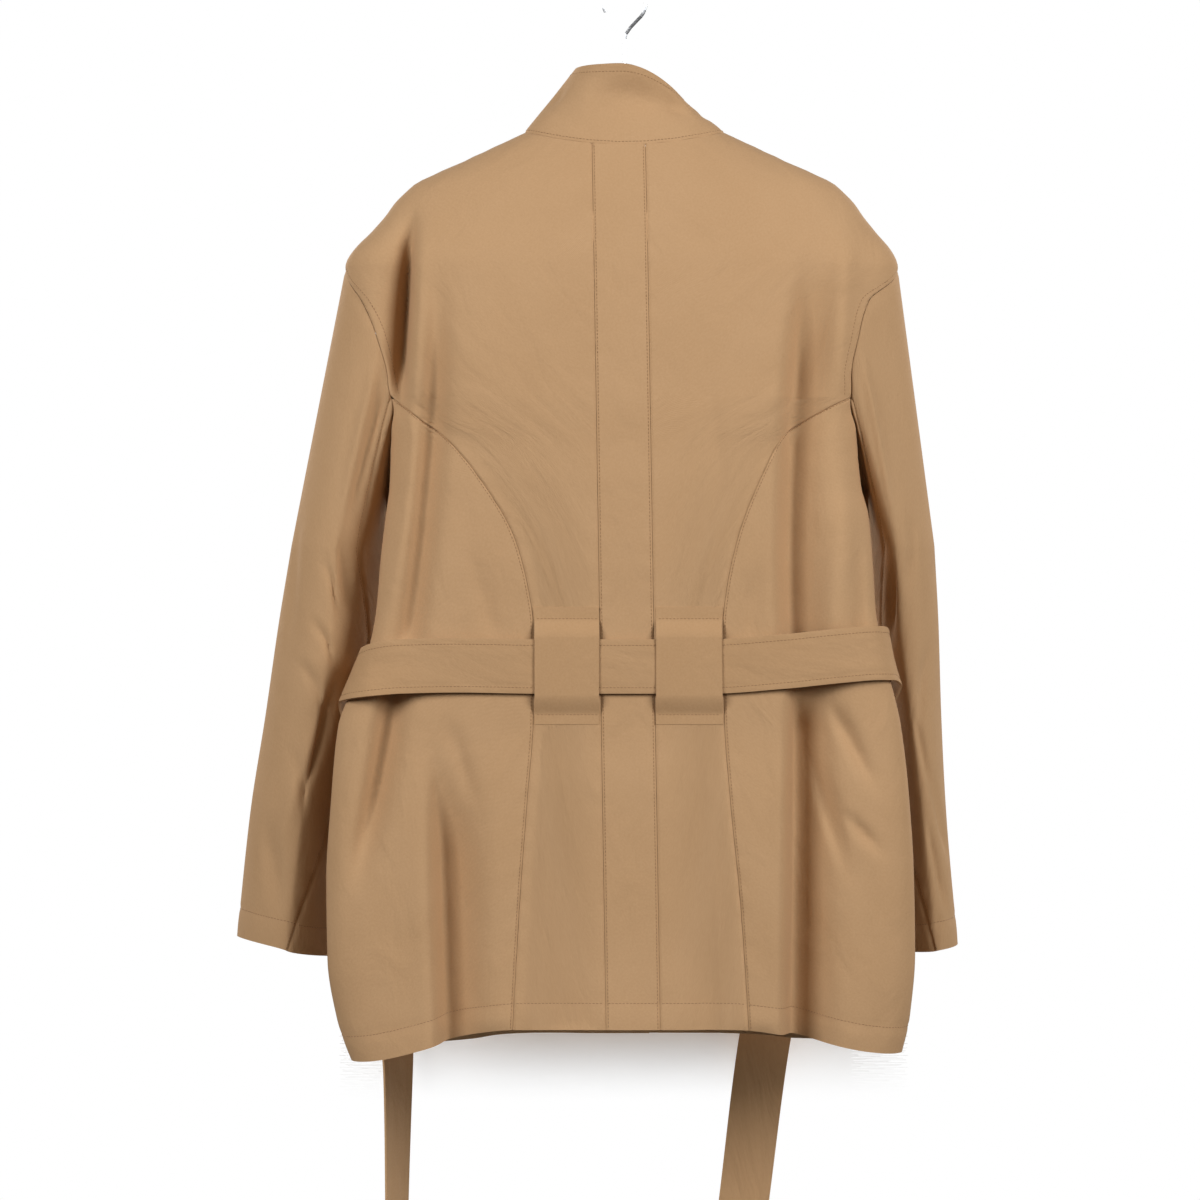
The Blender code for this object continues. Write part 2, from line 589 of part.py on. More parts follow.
def build_hanger(wood, steel):
    """A plain bowed bar under the shoulders and a wire hook that stands out of the collar."""
    neck_rows = [row for row in BODY if row.drop <= SHOULDER_TIP_DROP]
    drops = [row.drop for row in neck_rows]
    neck = BODY[0].right_x
    slope = math.atan(0.5)
    under_cloth = (CLOTH + SEAM_GAP + HANGER_RADIUS) / math.cos(slope)
    bar = []
    for x in np.linspace(-HANGER_HALF_SPAN, HANGER_HALF_SPAN, 23):
        ridge = float(np.interp(abs(x), [row.right_x for row in neck_rows], drops))
        straight = ridge if abs(x) > neck else BODY[0].drop - (neck - abs(x)) * math.tan(slope)
        eased = straight + HANGER_BOW * ease(1 - abs(x) / HANGER_BOW_HALF)
        bar.append((x, 0.0, -(HOOK_TO_NECK + eased + under_cloth)))
    build_rod("hanger_bar", bar, HANGER_RADIUS, 3, wood)

    stem_foot = max(point[2] for point in bar) + HANGER_RADIUS + SEAM_GAP
    crook_z = HOOK_RADIUS - CROOK_RADIUS
    start = math.radians(-50)
    turns = np.linspace(start, math.radians(205), 26)
    crook = [(CROOK_RADIUS * math.cos(a), 0.0, crook_z + CROOK_RADIUS * math.sin(a)) for a in turns]
    bend_z = crook[0][2] - 15
    hook = [(0, 0, stem_foot), (0, 0, bend_z - 20), (0, 0, bend_z - 2), (1.2, 0, bend_z + 2.5), (5, 0, bend_z + 8)]
    build_rod("hanger_hook", hook + crook, HOOK_RADIUS, 2, steel)


clear_scene()
COLLECTION = bpy.data.collections.new("belted_jacket")
bpy.context.scene.collection.children.link(COLLECTION)
twill = make_material("cotton_twill", CAMEL, 0.85)
trim = make_material("doubled_twill", CAMEL_DARK, 0.85)
build_back(twill)
build_fronts(twill)
build_sleeve("left", LEFT_SLEEVE, twill)
build_sleeve("right", RIGHT_SLEEVE, twill)
build_collar(twill)
wall("belt", *belt_grid(), BELT_CLOTH, trim)
build_loops(trim)
build_hanger(make_material("beech", BEECH, 0.6), make_material("steel_wire", STEEL, 0.3, 1.0))
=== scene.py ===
"""Looks for a belted cotton jacket that hangs on a wire-hooked hanger.

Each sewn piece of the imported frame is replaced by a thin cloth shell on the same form, with finer creases,
seam grooves, hems and stitching. Tables are in millimetres; a drop is measured down from the back neck seam.
"""

from __future__ import annotations

import logging
import math
from dataclasses import dataclass, field
from enum import Enum
from functools import lru_cache
from typing import Callable, NamedTuple, Sequence

import bpy
import numpy as np
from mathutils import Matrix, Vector

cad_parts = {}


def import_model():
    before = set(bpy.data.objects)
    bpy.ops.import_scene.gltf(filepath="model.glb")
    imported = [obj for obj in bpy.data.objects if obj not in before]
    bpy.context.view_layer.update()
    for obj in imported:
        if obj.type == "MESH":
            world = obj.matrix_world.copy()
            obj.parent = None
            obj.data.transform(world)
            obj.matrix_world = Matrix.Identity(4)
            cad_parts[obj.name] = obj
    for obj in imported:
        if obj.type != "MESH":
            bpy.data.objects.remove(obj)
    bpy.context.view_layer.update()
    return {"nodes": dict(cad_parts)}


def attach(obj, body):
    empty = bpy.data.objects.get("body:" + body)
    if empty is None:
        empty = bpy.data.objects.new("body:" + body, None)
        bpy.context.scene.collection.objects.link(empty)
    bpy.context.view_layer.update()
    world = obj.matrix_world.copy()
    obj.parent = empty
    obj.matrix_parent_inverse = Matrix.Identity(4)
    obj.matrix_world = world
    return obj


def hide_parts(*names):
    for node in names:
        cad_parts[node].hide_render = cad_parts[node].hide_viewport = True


LOG = logging.getLogger("jacket")
MM = 0.001
WHITE = (1.0, 1.0, 1.0, 1.0)
Line = tuple[np.ndarray, np.ndarray]
Edge = Callable[[float], float]
Place = tuple[float, float, float]

# Main sizes
HOOK_TO_NECK = 141.0
NECK_DROP = -14.0
SHOULDER_TIP_DROP = 100.0
PRINCESS_DROP = 212.0
SIDE_TIP_DROP = 213.0
UNDERARM_DROP = 285.0
HEM_DROP = 736.0
HEM_FLAT_HALF = 90.0
HEM_SHARE_DROP = 450.0
HEM_TURN = 22.0
CUFF_TURN = 24.0
CLOTH = 1.5
COLLAR_CLOTH = 2.4
BELT_CLOTH = 2.4
LOOP_CLOTH = 0.8
BELT_WIDTH = 45.0
SEAM_GAP = 0.3
FRONT_NECK_TOP = 50.0
FRONT_NECK_FOOT = 80.0
FRONT_OVERLAP = 22.0
FRONT_UNDERLAP_DEPTH = 4.0
ARMPIT_CLEARANCE = 4.0
SLEEVE_ROUND = 1.35
FOLD_END_POWER = 12

# Lines of stitching, in from the edge that each follows
SEAM_STITCH = 2.0
ARMHOLE_STITCH = 8.0
OPENING_STITCH = 6.0
COLLAR_FOOT_STITCH = 2.6
COLLAR_TOP_STITCH = 6.5
BELT_STITCH = 5.0
LOOP_TOP_STITCH = 9.5
LOOP_FOOT_STITCH = 8.0


class BodyRow(NamedTuple):
    """One ring of the body: side edges, depths, and how round each half is (1 is an ellipse)."""

    drop: float
    left_x: float
    right_x: float
    side_y: float
    back_y: float
    front_y: float
    back_round: float
    front_round: float


class ArmholeRow(NamedTuple):
    """How far back and forward of the shoulder line an armhole is cut."""

    drop: float
    left_back: float
    left_front: float
    right_back: float
    right_front: float


class SeamRow(NamedTuple):
    """Where a pair of seams crosses the back."""

    drop: float
    left_x: float
    right_x: float


class Fold(NamedTuple):
    """A ridge (positive height) or hollow that runs down the cloth."""

    name: str
    drop_top: float
    drop_bottom: float
    x_top: float
    x_mid: float
    x_bottom: float
    height: float
    left_width: float
    right_width: float
    fade_top: float
    fade_bottom: float


class Half(NamedTuple):
    """The back or the front half of the body."""

    name: str
    sign: int
    folds: tuple[Fold, ...]
    neck_dip: float
    hem_centre: float
    hem_left: float
    hem_right: float


class SleeveRow(NamedTuple):
    """A sleeve's section: its four corners in plan, its two seams' angles and its slant."""

    drop: float
    outer_x: float
    outer_y: float
    ridge_x: float
    ridge_y: float
    inner_x: float
    inner_y: float
    front_x: float
    front_y: float
    hind_angle: float
    fore_angle: float
    slant: float


class SleeveCrease(NamedTuple):
    """A crease on a sleeve, between two places given as an angle round it and a drop."""

    angle_top: float
    drop_top: float
    angle_bottom: float
    drop_bottom: float
    height: float
    width: float


class CollarPoint(NamedTuple):
    """A point of the collar's top edge."""

    x: float
    y: float
    drop: float


class CollarDent(NamedTuple):
    """A dent (positive depth) or bulge of the collar, by angle from the front and share of the height."""

    angle: float
    share: float
    depth: float
    angle_width: float
    share_width: float


class BeltRow(NamedTuple):
    """A place on the belt's line, the way its outer face looks and how far that tips up."""

    x: float
    y: float
    drop: float
    facing: float
    lift: float


class LoopRow(NamedTuple):
    """How far a belt loop's outer face stands off the back."""

    drop: float
    lift: float


def rows_of(kind: type, *rows: tuple) -> tuple:
    """A table of one kind of row."""
    return tuple(kind(*row) for row in rows)


BODY = rows_of(
    BodyRow,
    (-14, -85, 85, 0, -38, 62, 1.00, 1.00),
    (8, -132, 132, 0, -44, 66, 1.00, 1.00),
    (32, -181, 181, 0, -50, 69, 1.00, 1.00),
    (62, -207, 206, 0, -55, 72, 0.92, 0.95),
    (100, -236, 231, -2, -60, 74, 0.82, 0.92),
    (150, -229, 222, -7, -64, 76, 0.74, 0.92),
    (200, -212, 206, -8, -66, 76, 0.64, 0.94),
    (225, -199, 196, -6, -67, 76, 0.57, 0.95),
    (250, -197, 196, -4, -67, 75, 0.51, 0.97),
    (285, -198, 199, 0, -68, 74, 0.46, 1.00),
    (310, -201, 205, -5, -68, 73, 0.46, 1.02),
    (348, -205, 208, -15, -68, 71, 0.46, 1.05),
    (388, -208, 210, -26, -67, 69, 0.48, 1.10),
    (432, -217, 218, -31, -67, 68, 0.50, 1.12),
    (484, -240, 231, -30, -67, 69, 0.50, 1.12),
    (540, -246, 238, -27, -71, 71, 0.50, 1.10),
    (600, -250, 242, -25, -74, 73, 0.50, 1.06),
    (660, -249, 243, -25, -76, 74, 0.50, 1.02),
    (705, -241, 239, -25, -77, 75, 0.50, 1.00),
    (736, -229, 232, -25, -77, 75, 0.50, 1.00),
)
ARMHOLE = rows_of(
    ArmholeRow,
    (100, -2, -2, -2, -2),
    (130, -31, 18, -38, 18),
    (160, -40, 28, -43, 28),
    (190, -43, 32, -45, 32),
    (212, -40, 32, -42, 32),
    (240, -28, 28, -29, 28),
    (262, -14, 20, -14, 20),
    (285, 0, 0, 0, 0),
)
CENTRE_SEAMS = rows_of(SeamRow, (-14, -27.6, 17.2), (736, -15.8, 29.0))
PRINCESS_SEAMS = rows_of(
    SeamRow,
    (212, -194, 189),
    (222, -182, 168),
    (232, -169, 149),
    (244, -152, 133),
    (281, -120, 112),
    (331, -91, 93),
    (373, -80, 84),
    (402, -76, 81),
    (474, -76, 82),
    (547, -81, 87),
    (630, -87, 95),
    (736, -93, 102),
)

# The large folds, first in each list, are the frame's own. The smaller ones are what hanging presses in.
BACK_FOLDS = rows_of(
    Fold,
    ("left sleeve-head groove", 40, 240, -179, -184, -190, -22, 20, 7, 0.55, 0.35),
    ("left shoulder-blade hollow", 70, 430, -158, -166, -186, -9, 11, 15, 0.50, 0.05),
    ("right shoulder-blade hollow", 70, 445, 158, 141, 143, -11, 8, 24, 0.40, 0.05),
    ("right sleeve-head ridge", 45, 240, 186, 181, 176, 7, 12, 10, 0.40, 0.40),
    ("right skirt hollow", 400, 750, 146, 144, 142, -16, 9, 30, 0.15, 0.02),
    ("left skirt hollow", 480, 750, -157, -152, -147, -11, 9, 34, 0.45, 0.02),
    ("left side hollow", 420, 640, -188, -205, -234, -12, 12, 14, 0.15, 0.50),
    ("left sleeve-head crease", 42, 238, -177, -183.5, -189, -17, 8, 4, 0.35, 0.30),
    ("left edge ridge", 90, 420, -169, -174, -198, 5.0, 7, 8, 0.40, 0.30),
    ("left blade crease", 75, 432, -156, -162, -183, -8, 7, 10, 0.45, 0.10),
    ("right blade crease", 75, 445, 158, 138, 140, -13, 12, 19, 0.35, 0.05),
    ("right blade lip", 95, 445, 147, 127, 128, 3.0, 9, 5, 0.40, 0.10),
    ("right edge ridge", 250, 430, 190, 180, 172, 5.0, 12, 14, 0.45, 0.20),
    ("right edge dent", 300, 440, 194, 195, 196, -5.5, 5, 6, 0.50, 0.20),
    ("right skirt crease", 455, 750, 143, 141, 139, -17, 6, 22, 0.12, 0.02),
    ("right skirt lip", 470, 750, 131, 129, 127, 3.0, 9, 5, 0.30, 0.02),
    ("right skirt drag, upper", 458, 545, 168, 190, 214, -6.5, 6, 9, 0.35, 0.50),
    ("right skirt drag, lower", 545, 590, 178, 197, 216, -5.0, 6, 8, 0.50, 0.50),
    ("right skirt drag, inner", 500, 615, 157, 170, 187, -6.0, 5, 10, 0.45, 0.50),
    ("left skirt crease", 495, 750, -156, -150, -146, -13, 5.5, 24, 0.40, 0.02),
    ("left skirt lip", 490, 750, -168, -162, -158, 3.5, 16, 6, 0.50, 0.02),
    ("left side crease", 425, 620, -190, -207, -230, -9, 8, 9, 0.20, 0.50),
    ("left skirt drag", 470, 560, -150, -136, -124, -3.5, 7, 8, 0.40, 0.50),
    ("back crease, left", 150, 300, -72, -80, -95, -1.6, 6, 11, 0.50, 0.50),
    ("back crease, right", 170, 330, 66, 76, 82, -1.5, 9, 6, 0.50, 0.50),
    ("back swell, left", 60, 330, -100, -112, -118, 2.0, 26, 30, 0.50, 0.50),
    ("waist drag, left", 330, 425, -130, -118, -104, -2.4, 7, 10, 0.50, 0.30),
    ("waist drag, right", 340, 425, 112, 106, 100, -2.0, 8, 7, 0.50, 0.30),
    ("skirt swell, left", 500, 740, -108, -112, -114, 2.6, 16, 22, 0.50, 0.05),
    ("skirt swell, right", 500, 740, 108, 112, 114, 3.0, 20, 14, 0.50, 0.05),
    ("skirt hollow, centre", 520, 740, -52, -50, -46, -2.4, 18, 16, 0.50, 0.05),
    ("hem ripple, right", 640, 745, 62, 66, 70, -2.6, 12, 14, 0.60, 0.02),
)
FRONT_FOLDS = rows_of(
    Fold,
    ("left front sleeve-head hollow", 55, 400, -176, -166, -160, -12, 18, 10, 0.45, 0.30),
    ("right front sleeve-head hollow", 55, 400, 172, 162, 158, -12, 10, 18, 0.45, 0.30),
    ("left front skirt hollow", 430, 750, -118, -124, -132, -11, 24, 12, 0.40, 0.02),
    ("right front skirt hollow", 430, 750, 128, 136, 146, -11, 12, 24, 0.40, 0.02),
    ("left front drag", 120, 330, -120, -96, -70, -3.0, 10, 14, 0.50, 0.50),
    ("right front drag", 110, 310, 118, 98, 74, -3.0, 14, 10, 0.50, 0.50),
    ("left front swell", 440, 745, -70, -74, -80, 4.0, 20, 22, 0.50, 0.05),
    ("right front swell", 440, 745, 78, 84, 90, 4.0, 22, 20, 0.50, 0.05),
    ("left front crease", 240, 420, -60, -70, -84, -2.0, 8, 12, 0.50, 0.50),
    ("right front crease", 250, 430, 64, 74, 80, -2.0, 12, 8, 0.50, 0.50),
)
BACK = Half("back", -1, BACK_FOLDS, 14, 0, 29, 22)
FRONT = Half("front", 1, FRONT_FOLDS, 76, 20, 29, 22)

LEFT_SLEEVE = rows_of(
    SleeveRow,
    (335, -283, 12, -242, -32, -200, 38, -242, 86, 122, 228, 6),
    (400, -294, 15, -246, -29, -206, 42, -252, 93, 140, 226, 6),
    (480, -306, 20, -257, -22, -226, 46, -266, 96, 160, 224, 8),
    (560, -319, 25, -272, -16, -240, 48, -282, 94, 136, 222, 10),
    (668, -331, 30, -285, -12, -243, 47, -290, 88, 93, 220, 18),
)
RIGHT_SLEEVE = rows_of(
    SleeveRow,
    (335, 264, 18, 228, -20, 211, 44, 230, 88, 122, 228, 4),
    (400, 268, 24, 233, -9, 215, 52, 236, 96, 140, 226, 4),
    (480, 271, 30, 243, -3, 222, 58, 241, 100, 150, 224, 4),
    (560, 275, 32, 252, -4, 222, 58, 246, 99, 132, 222, 6),
    (674, 284, 34, 263, -4, 216, 58, 252, 94, 93, 220, 8),
)
LEFT_CREASES = rows_of(
    SleeveCrease,
    (74, 130, 84, 340, 4.0, 7),
    (100, 170, 106, 340, -4.0, 7),
    (98, 320, 120, 405, -5.0, 7),
    (66, 340, 112, 405, -3.6, 5),
    (58, 392, 108, 440, -3.6, 5),
    (46, 425, 100, 480, -3.0, 6),
    (112, 430, 86, 560, -5.0, 8),
    (84, 470, 62, 600, 3.4, 9),
    (58, 500, 98, 565, -3.4, 6),
    (40, 555, 74, 655, -4.0, 8),
    (16, 290, 40, 430, -2.6, 8),
    (265, 330, 300, 420, -4.0, 8),
    (250, 430, 290, 500, -4.0, 9),
    (300, 520, 330, 620, -3.4, 9),
)
RIGHT_CREASES = rows_of(
    SleeveCrease,
    (70, 130, 80, 340, 3.6, 7),
    (100, 340, 122, 425, -4.6, 7),
    (44, 300, 70, 385, -3.0, 6),
    (34, 410, 74, 500, -3.8, 6),
    (80, 470, 54, 560, -3.4, 7),
    (60, 520, 28, 610, -3.8, 8),
    (78, 560, 50, 660, -4.2, 7),
    (262, 340, 296, 430, -4.0, 8),
    (248, 450, 286, 520, -4.0, 9),
    (302, 520, 326, 630, -3.4, 9),
)

COLLAR_LEFT = CollarPoint(-42, 0, -68)
COLLAR_BACK = CollarPoint(-4, -36, -68)
COLLAR_RIGHT = CollarPoint(50, 2, -42)
COLLAR_FRONT = CollarPoint(0, 40, 0)
COLLAR_DENTS = rows_of(
    CollarDent,
    (192, 0.60, 5.0, 24, 0.20),
    (222, 0.55, 3.0, 10, 0.16),
    (256, 0.72, 7.0, 7, 0.12),
    (262, 0.52, 3.0, 9, 0.10),
    (150, 0.50, -2.0, 14, 0.25),
    (110, 0.55, 3.0, 12, 0.20),
    (300, 0.60, 3.0, 12, 0.20),
    (55, 0.55, 3.0, 14, 0.22),
)

BELT = rows_of(
    BeltRow,
    (-199, 92, 1004, -108, 0),
    (-198, 92, 900, -112, 0),
    (-197, 92, 790, -120, 0),
    (-203, 86, 710, -136, 0),
    (-213, 68, 630, -138, 0),
    (-223, 42, 560, -118, 2),
    (-227, 28, 512, -110, 8),
    (-230, 12, 476, -102, 16),
    (-232, -6, 456, -94, 22),
    (-231, -26, 447, -84, 24),
    (-226, -48, 443, -58, 22),
    (-211, -63, 439, -30, 14),
    (-186, -69, 436, -10, 4),
    (-140, -70, 435, -2, 0),
    (-70, -70, 436, 0, 0),
    (0, -70, 436, 0, 0),
    (70, -70, 436, 0, 0),
    (130, -70, 432, 1, 0),
    (180, -67, 427, 8, 0),
    (208, -60, 425, 26, 4),
    (222, -45, 426, 56, 12),
    (226, -20, 434, 88, 18),
    (217, 8, 457, 112, 8),
    (196, 36, 494, 130, 4),
    (174, 62, 550, 148, 0),
    (153, 81, 620, 164, 0),
    (136, 91, 700, 172, 0),
    (122, 94, 770, 168, 0),
    (106, 94, 895, 160, 0),
    (95, 93, 985, 157, 0),
)
LOOP_LIFT = rows_of(
    LoopRow,
    (387, 0.4),
    (397, 0.4),
    (400, 1.4),
    (412, 5.6),
    (436, 5.8),
    (460, 5.6),
    (470, 2.6),
    (474, 0.9),
    (476, 0.4),
    (484, 0.4),
)

# Fineness of the shells
ROW_STEP = 4.0
COLUMN_STEP = 3.0
LINE_POINTS = 721
SEAM_RIM = (0.0, 0.6, 1.4, 2.6)
SEAM_DEPTH = 0.9
SEAM_WIDTH = 1.1
SEAM_PUCKER_WIDTH = 7.0
HEM_PUCKER_WIDTH = 8.0
STITCH_PULL_WIDTH = 1.6
HEM_FULLNESS = 0.35
HEM_FULL_SHARE = 2.4
PUCKER = 0.28
LEAST_ROW = 0.1
SHORT_ROW = 20.0
SHARP_DEG = 60.0


class Cut(Enum):
    """How the length of a piece's flat cut is measured."""

    HANGING = "its height as it hangs"
    STANDING = "its longest column"
    STRIP = "its middle, as a plain rectangle"


class Weave(Enum):
    """Which way a piece was cut on the cloth: along the warp or across it."""

    LENGTHWISE = 0.0
    CROSSWISE = 90.0


class Beat(NamedTuple):
    """The uneven ripple that stitching draws up along a line, so cloth beside it is never quite flat."""

    ripple: float
    wander: float
    drift: float
    swell: float

    def at(self, run: np.ndarray) -> np.ndarray:
        """The ripple's height, at most 1, at distances along the line."""
        wave = np.sin(run / self.ripple + self.wander * np.sin(run / self.drift))
        return wave * (0.6 + 0.4 * np.sin(run / self.swell))


SEAM_BEAT = Beat(3.7, 1.3, 31.0, 57.0)
HEM_BEAT = Beat(4.3, 1.1, 37.0, 71.0)


def ease(value: np.ndarray | float) -> np.ndarray | float:
    """A smooth step: 0 up to 0, and 1 from 1 on."""
    t = np.clip(value, 0.0, 1.0)
    return t * t * (3.0 - 2.0 * t)


def bell(off: np.ndarray, width: np.ndarray | float) -> np.ndarray:
    """A bump of height 1 at 0 that falls away over a width."""
    return np.exp(-((off / width) ** 2))


def unit(vectors: np.ndarray) -> np.ndarray:
    """Vectors made one long."""
    return vectors / np.maximum(np.linalg.norm(vectors, axis=-1, keepdims=True), 1e-12)


def curve(knots: Sequence[float], values: Sequence[float], at: np.ndarray | float) -> np.ndarray:
    """A smooth curve through some values that never overshoots them.

    Args:
        knots: Where the values are, in rising order.
        values: The values.
        at: Where to read the curve.

    Returns:
        The curve there.
    """
    knots, values = np.array(knots, float), np.array(values, float)
    steps = np.diff(knots)
    secants = np.diff(values) / steps
    product = secants[:-1] * secants[1:]
    total = secants[:-1] + secants[1:]
    inner = np.where(product > 0, 2 * product / np.where(total == 0, 1, total), 0.0)
    slopes = np.concatenate([secants[:1], inner, secants[-1:]])
    at = np.clip(np.asarray(at, float), knots[0], knots[-1])
    i = np.clip(np.searchsorted(knots, at) - 1, 0, len(steps) - 1)
    t = (at - knots[i]) / steps[i]
    rise = values[i] * (1 + 2 * t) * (1 - t) ** 2 + values[i + 1] * t * t * (3 - 2 * t)
    return rise + steps[i] * (slopes[i] * t * (1 - t) ** 2 + slopes[i + 1] * t * t * (t - 1))


def smooth(rows: Sequence[tuple], column: str, drop: np.ndarray | float) -> np.ndarray:
    """A column of a table at a drop, or at several."""
    return curve([row.drop for row in rows], [getattr(row, column) for row in rows], drop)


def run_length(points: np.ndarray) -> np.ndarray:
    """The distance of each point of a line from its first, along the line."""
    return np.concatenate([[0.0], np.cumsum(np.linalg.norm(np.diff(points, axis=0), axis=1))])


def resample(line: np.ndarray, run: np.ndarray, at: np.ndarray) -> np.ndarray:
    """A line's vectors at other distances along it than its own, which run gives."""
    return np.stack([np.interp(at, run, line[:, i]) for i in range(line.shape[1])], axis=1)


def fold_height(folds: Sequence[Fold], x: np.ndarray, drop: float) -> np.ndarray:
    """How far the folds lift the cloth off its plain form.

    Args:
        folds: The folds of this half.
        x: Places across it.
        drop: How far down.

    Returns:
        A height for each place.
    """
    height = np.zeros_like(x)
    for fold in folds:
        t = (drop - fold.drop_top) / (fold.drop_bottom - fold.drop_top)
        if not 0 < t < 1:
            continue
        ends = fold.x_top * (1 - t) * (1 - 2 * t) + fold.x_bottom * t * (2 * t - 1)
        off = x - (ends + 4 * fold.x_mid * t * (1 - t))
        width = np.where(off < 0, fold.left_width, fold.right_width)
        strength = ease(t / fold.fade_top) * ease((1 - t) / fold.fade_bottom)
        height += fold.height * strength * bell(off, width)
    return height


def line_points(half: Half, drop: float) -> np.ndarray:
    """Points across one half of the body at a drop, from its left edge to its right edge.

    Args:
        half: Back or front.
        drop: How far down.

    Returns:
        The points, in millimetres.
    """
    row = {column: float(smooth(BODY, column, drop)) for column in BodyRow._fields[1:]}
    roundness, depth = row[f"{half.name}_round"], row[f"{half.name}_y"]
    angle = np.linspace(0.0, math.pi, LINE_POINTS)
    on_left = angle < math.pi / 2
    across = np.abs(np.cos(angle)) ** roundness
    x = np.where(on_left, row["left_x"], row["right_x"]) * across
    y = row["side_y"] + (depth - row["side_y"]) * np.sin(angle) ** roundness
    y += half.sign * fold_height(half.folds, x, drop) * (1 - across**FOLD_END_POWER)
    neck_share = np.clip((SHOULDER_TIP_DROP - drop) / (SHOULDER_TIP_DROP - NECK_DROP), 0.0, 1.0)
    neck = half.neck_dip * (1 - across**2) * neck_share
    edge = np.where(on_left, -row["left_x"], row["right_x"])
    corner = ease((np.abs(x) - HEM_FLAT_HALF) / np.maximum(edge - HEM_FLAT_HALF, 1.0))
    corner_drop = np.where(on_left, half.hem_left, half.hem_right) - half.hem_centre
    hem_share = np.clip((drop - HEM_SHARE_DROP) / (HEM_DROP - HEM_SHARE_DROP), 0.0, 1.0)
    hem = (half.hem_centre + corner_drop * corner) * hem_share
    return np.stack([x, y, -(HOOK_TO_NECK + drop + neck + hem)], axis=1)


@lru_cache(maxsize=4096)
def body_line(half: Half, drop: float) -> Line:
    """Points across one half of the body, and the way the cloth faces there.

    Args:
        half: Back or front.
        drop: How far down.

    Returns:
        Points and normals.
    """
    points = line_points(half, drop)
    along = np.gradient(points, axis=0)
    down = line_points(half, min(drop + 1, HEM_DROP)) - line_points(half, max(drop - 1, NECK_DROP))
    return points, unit(half.sign * np.cross(along, down))


def edge_x(drop: float, side: str, face: str) -> float:
    """How far across a panel of the body reaches at a drop.

    Args:
        drop: How far down.
        side: "left" or "right".
        face: "back" or "front".

    Returns:
        The place across of its edge.
    """
    edge = float(smooth(BODY, f"{side}_x", drop))
    if not SHOULDER_TIP_DROP < drop < UNDERARM_DROP:
        return edge
    columns = ("side_y", f"{face}_y", f"{face}_round")
    middle, depth, roundness = (float(smooth(BODY, column, drop)) for column in columns)
    share = np.clip((float(smooth(ARMHOLE, f"{side}_{face}", drop)) - middle) / (depth - middle), 0.0, 1.0)
    return edge * (1 - share ** (2 / roundness)) ** (roundness / 2)


def outer_back_x(drop: float, side: str) -> float:
    """The outer edge of the left or right back panel: shoulder and armhole, then the curved seam."""
    seam = float(smooth(PRINCESS_SEAMS, f"{side}_x", drop))
    return edge_x(drop, side, "back") if drop < PRINCESS_DROP else seam


def centre_x(drop: float, side: str) -> float:
    """Where the left or right seam of the centre back panel is at a drop."""
    return float(smooth(CENTRE_SEAMS, f"{side}_x", drop))


def spread(length: float, columns: int) -> np.ndarray:
    """Distances along a row: even steps, with close ones at both edges for the seams.

    Args:
        length: The row's length.
        columns: How many even steps.

    Returns:
        The distances.
    """
    length = max(length, LEAST_ROW)
    narrow = min(1.0, length / SHORT_ROW)
    rim = np.array(SEAM_RIM) * narrow
    step = COLUMN_STEP * narrow
    return np.concatenate([rim, np.linspace(step, length - step, columns), length - rim[::-1]])


def drops(first: float, last: float, *extra: float) -> list[float]:
    """Even drops between two, with some more to hit exactly, in order."""
    count = max(2, round((last - first) / ROW_STEP) + 1)
    return sorted({*np.linspace(first, last, count).round(3).tolist(), *extra})


def inset(lines: np.ndarray, facings: np.ndarray, offset: float, from_end: bool) -> Line:
    """A line that crosses others at a distance from one end of each.

    Args:
        lines: The lines that it crosses.
        facings: The way the cloth faces along them.
        offset: The distance.
        from_end: Whether it's measured from their last points.

    Returns:
        Points and normals on the cloth.
    """
    points, normals = [], []
    for line, facing in zip(lines, facings):
        run = run_length(line)
        at = np.array([run[-1] - offset if from_end else offset])
        points.append(resample(line, run, at)[0])
        normals.append(resample(facing, run, at)[0])
    return np.array(points), unit(np.array(normals))


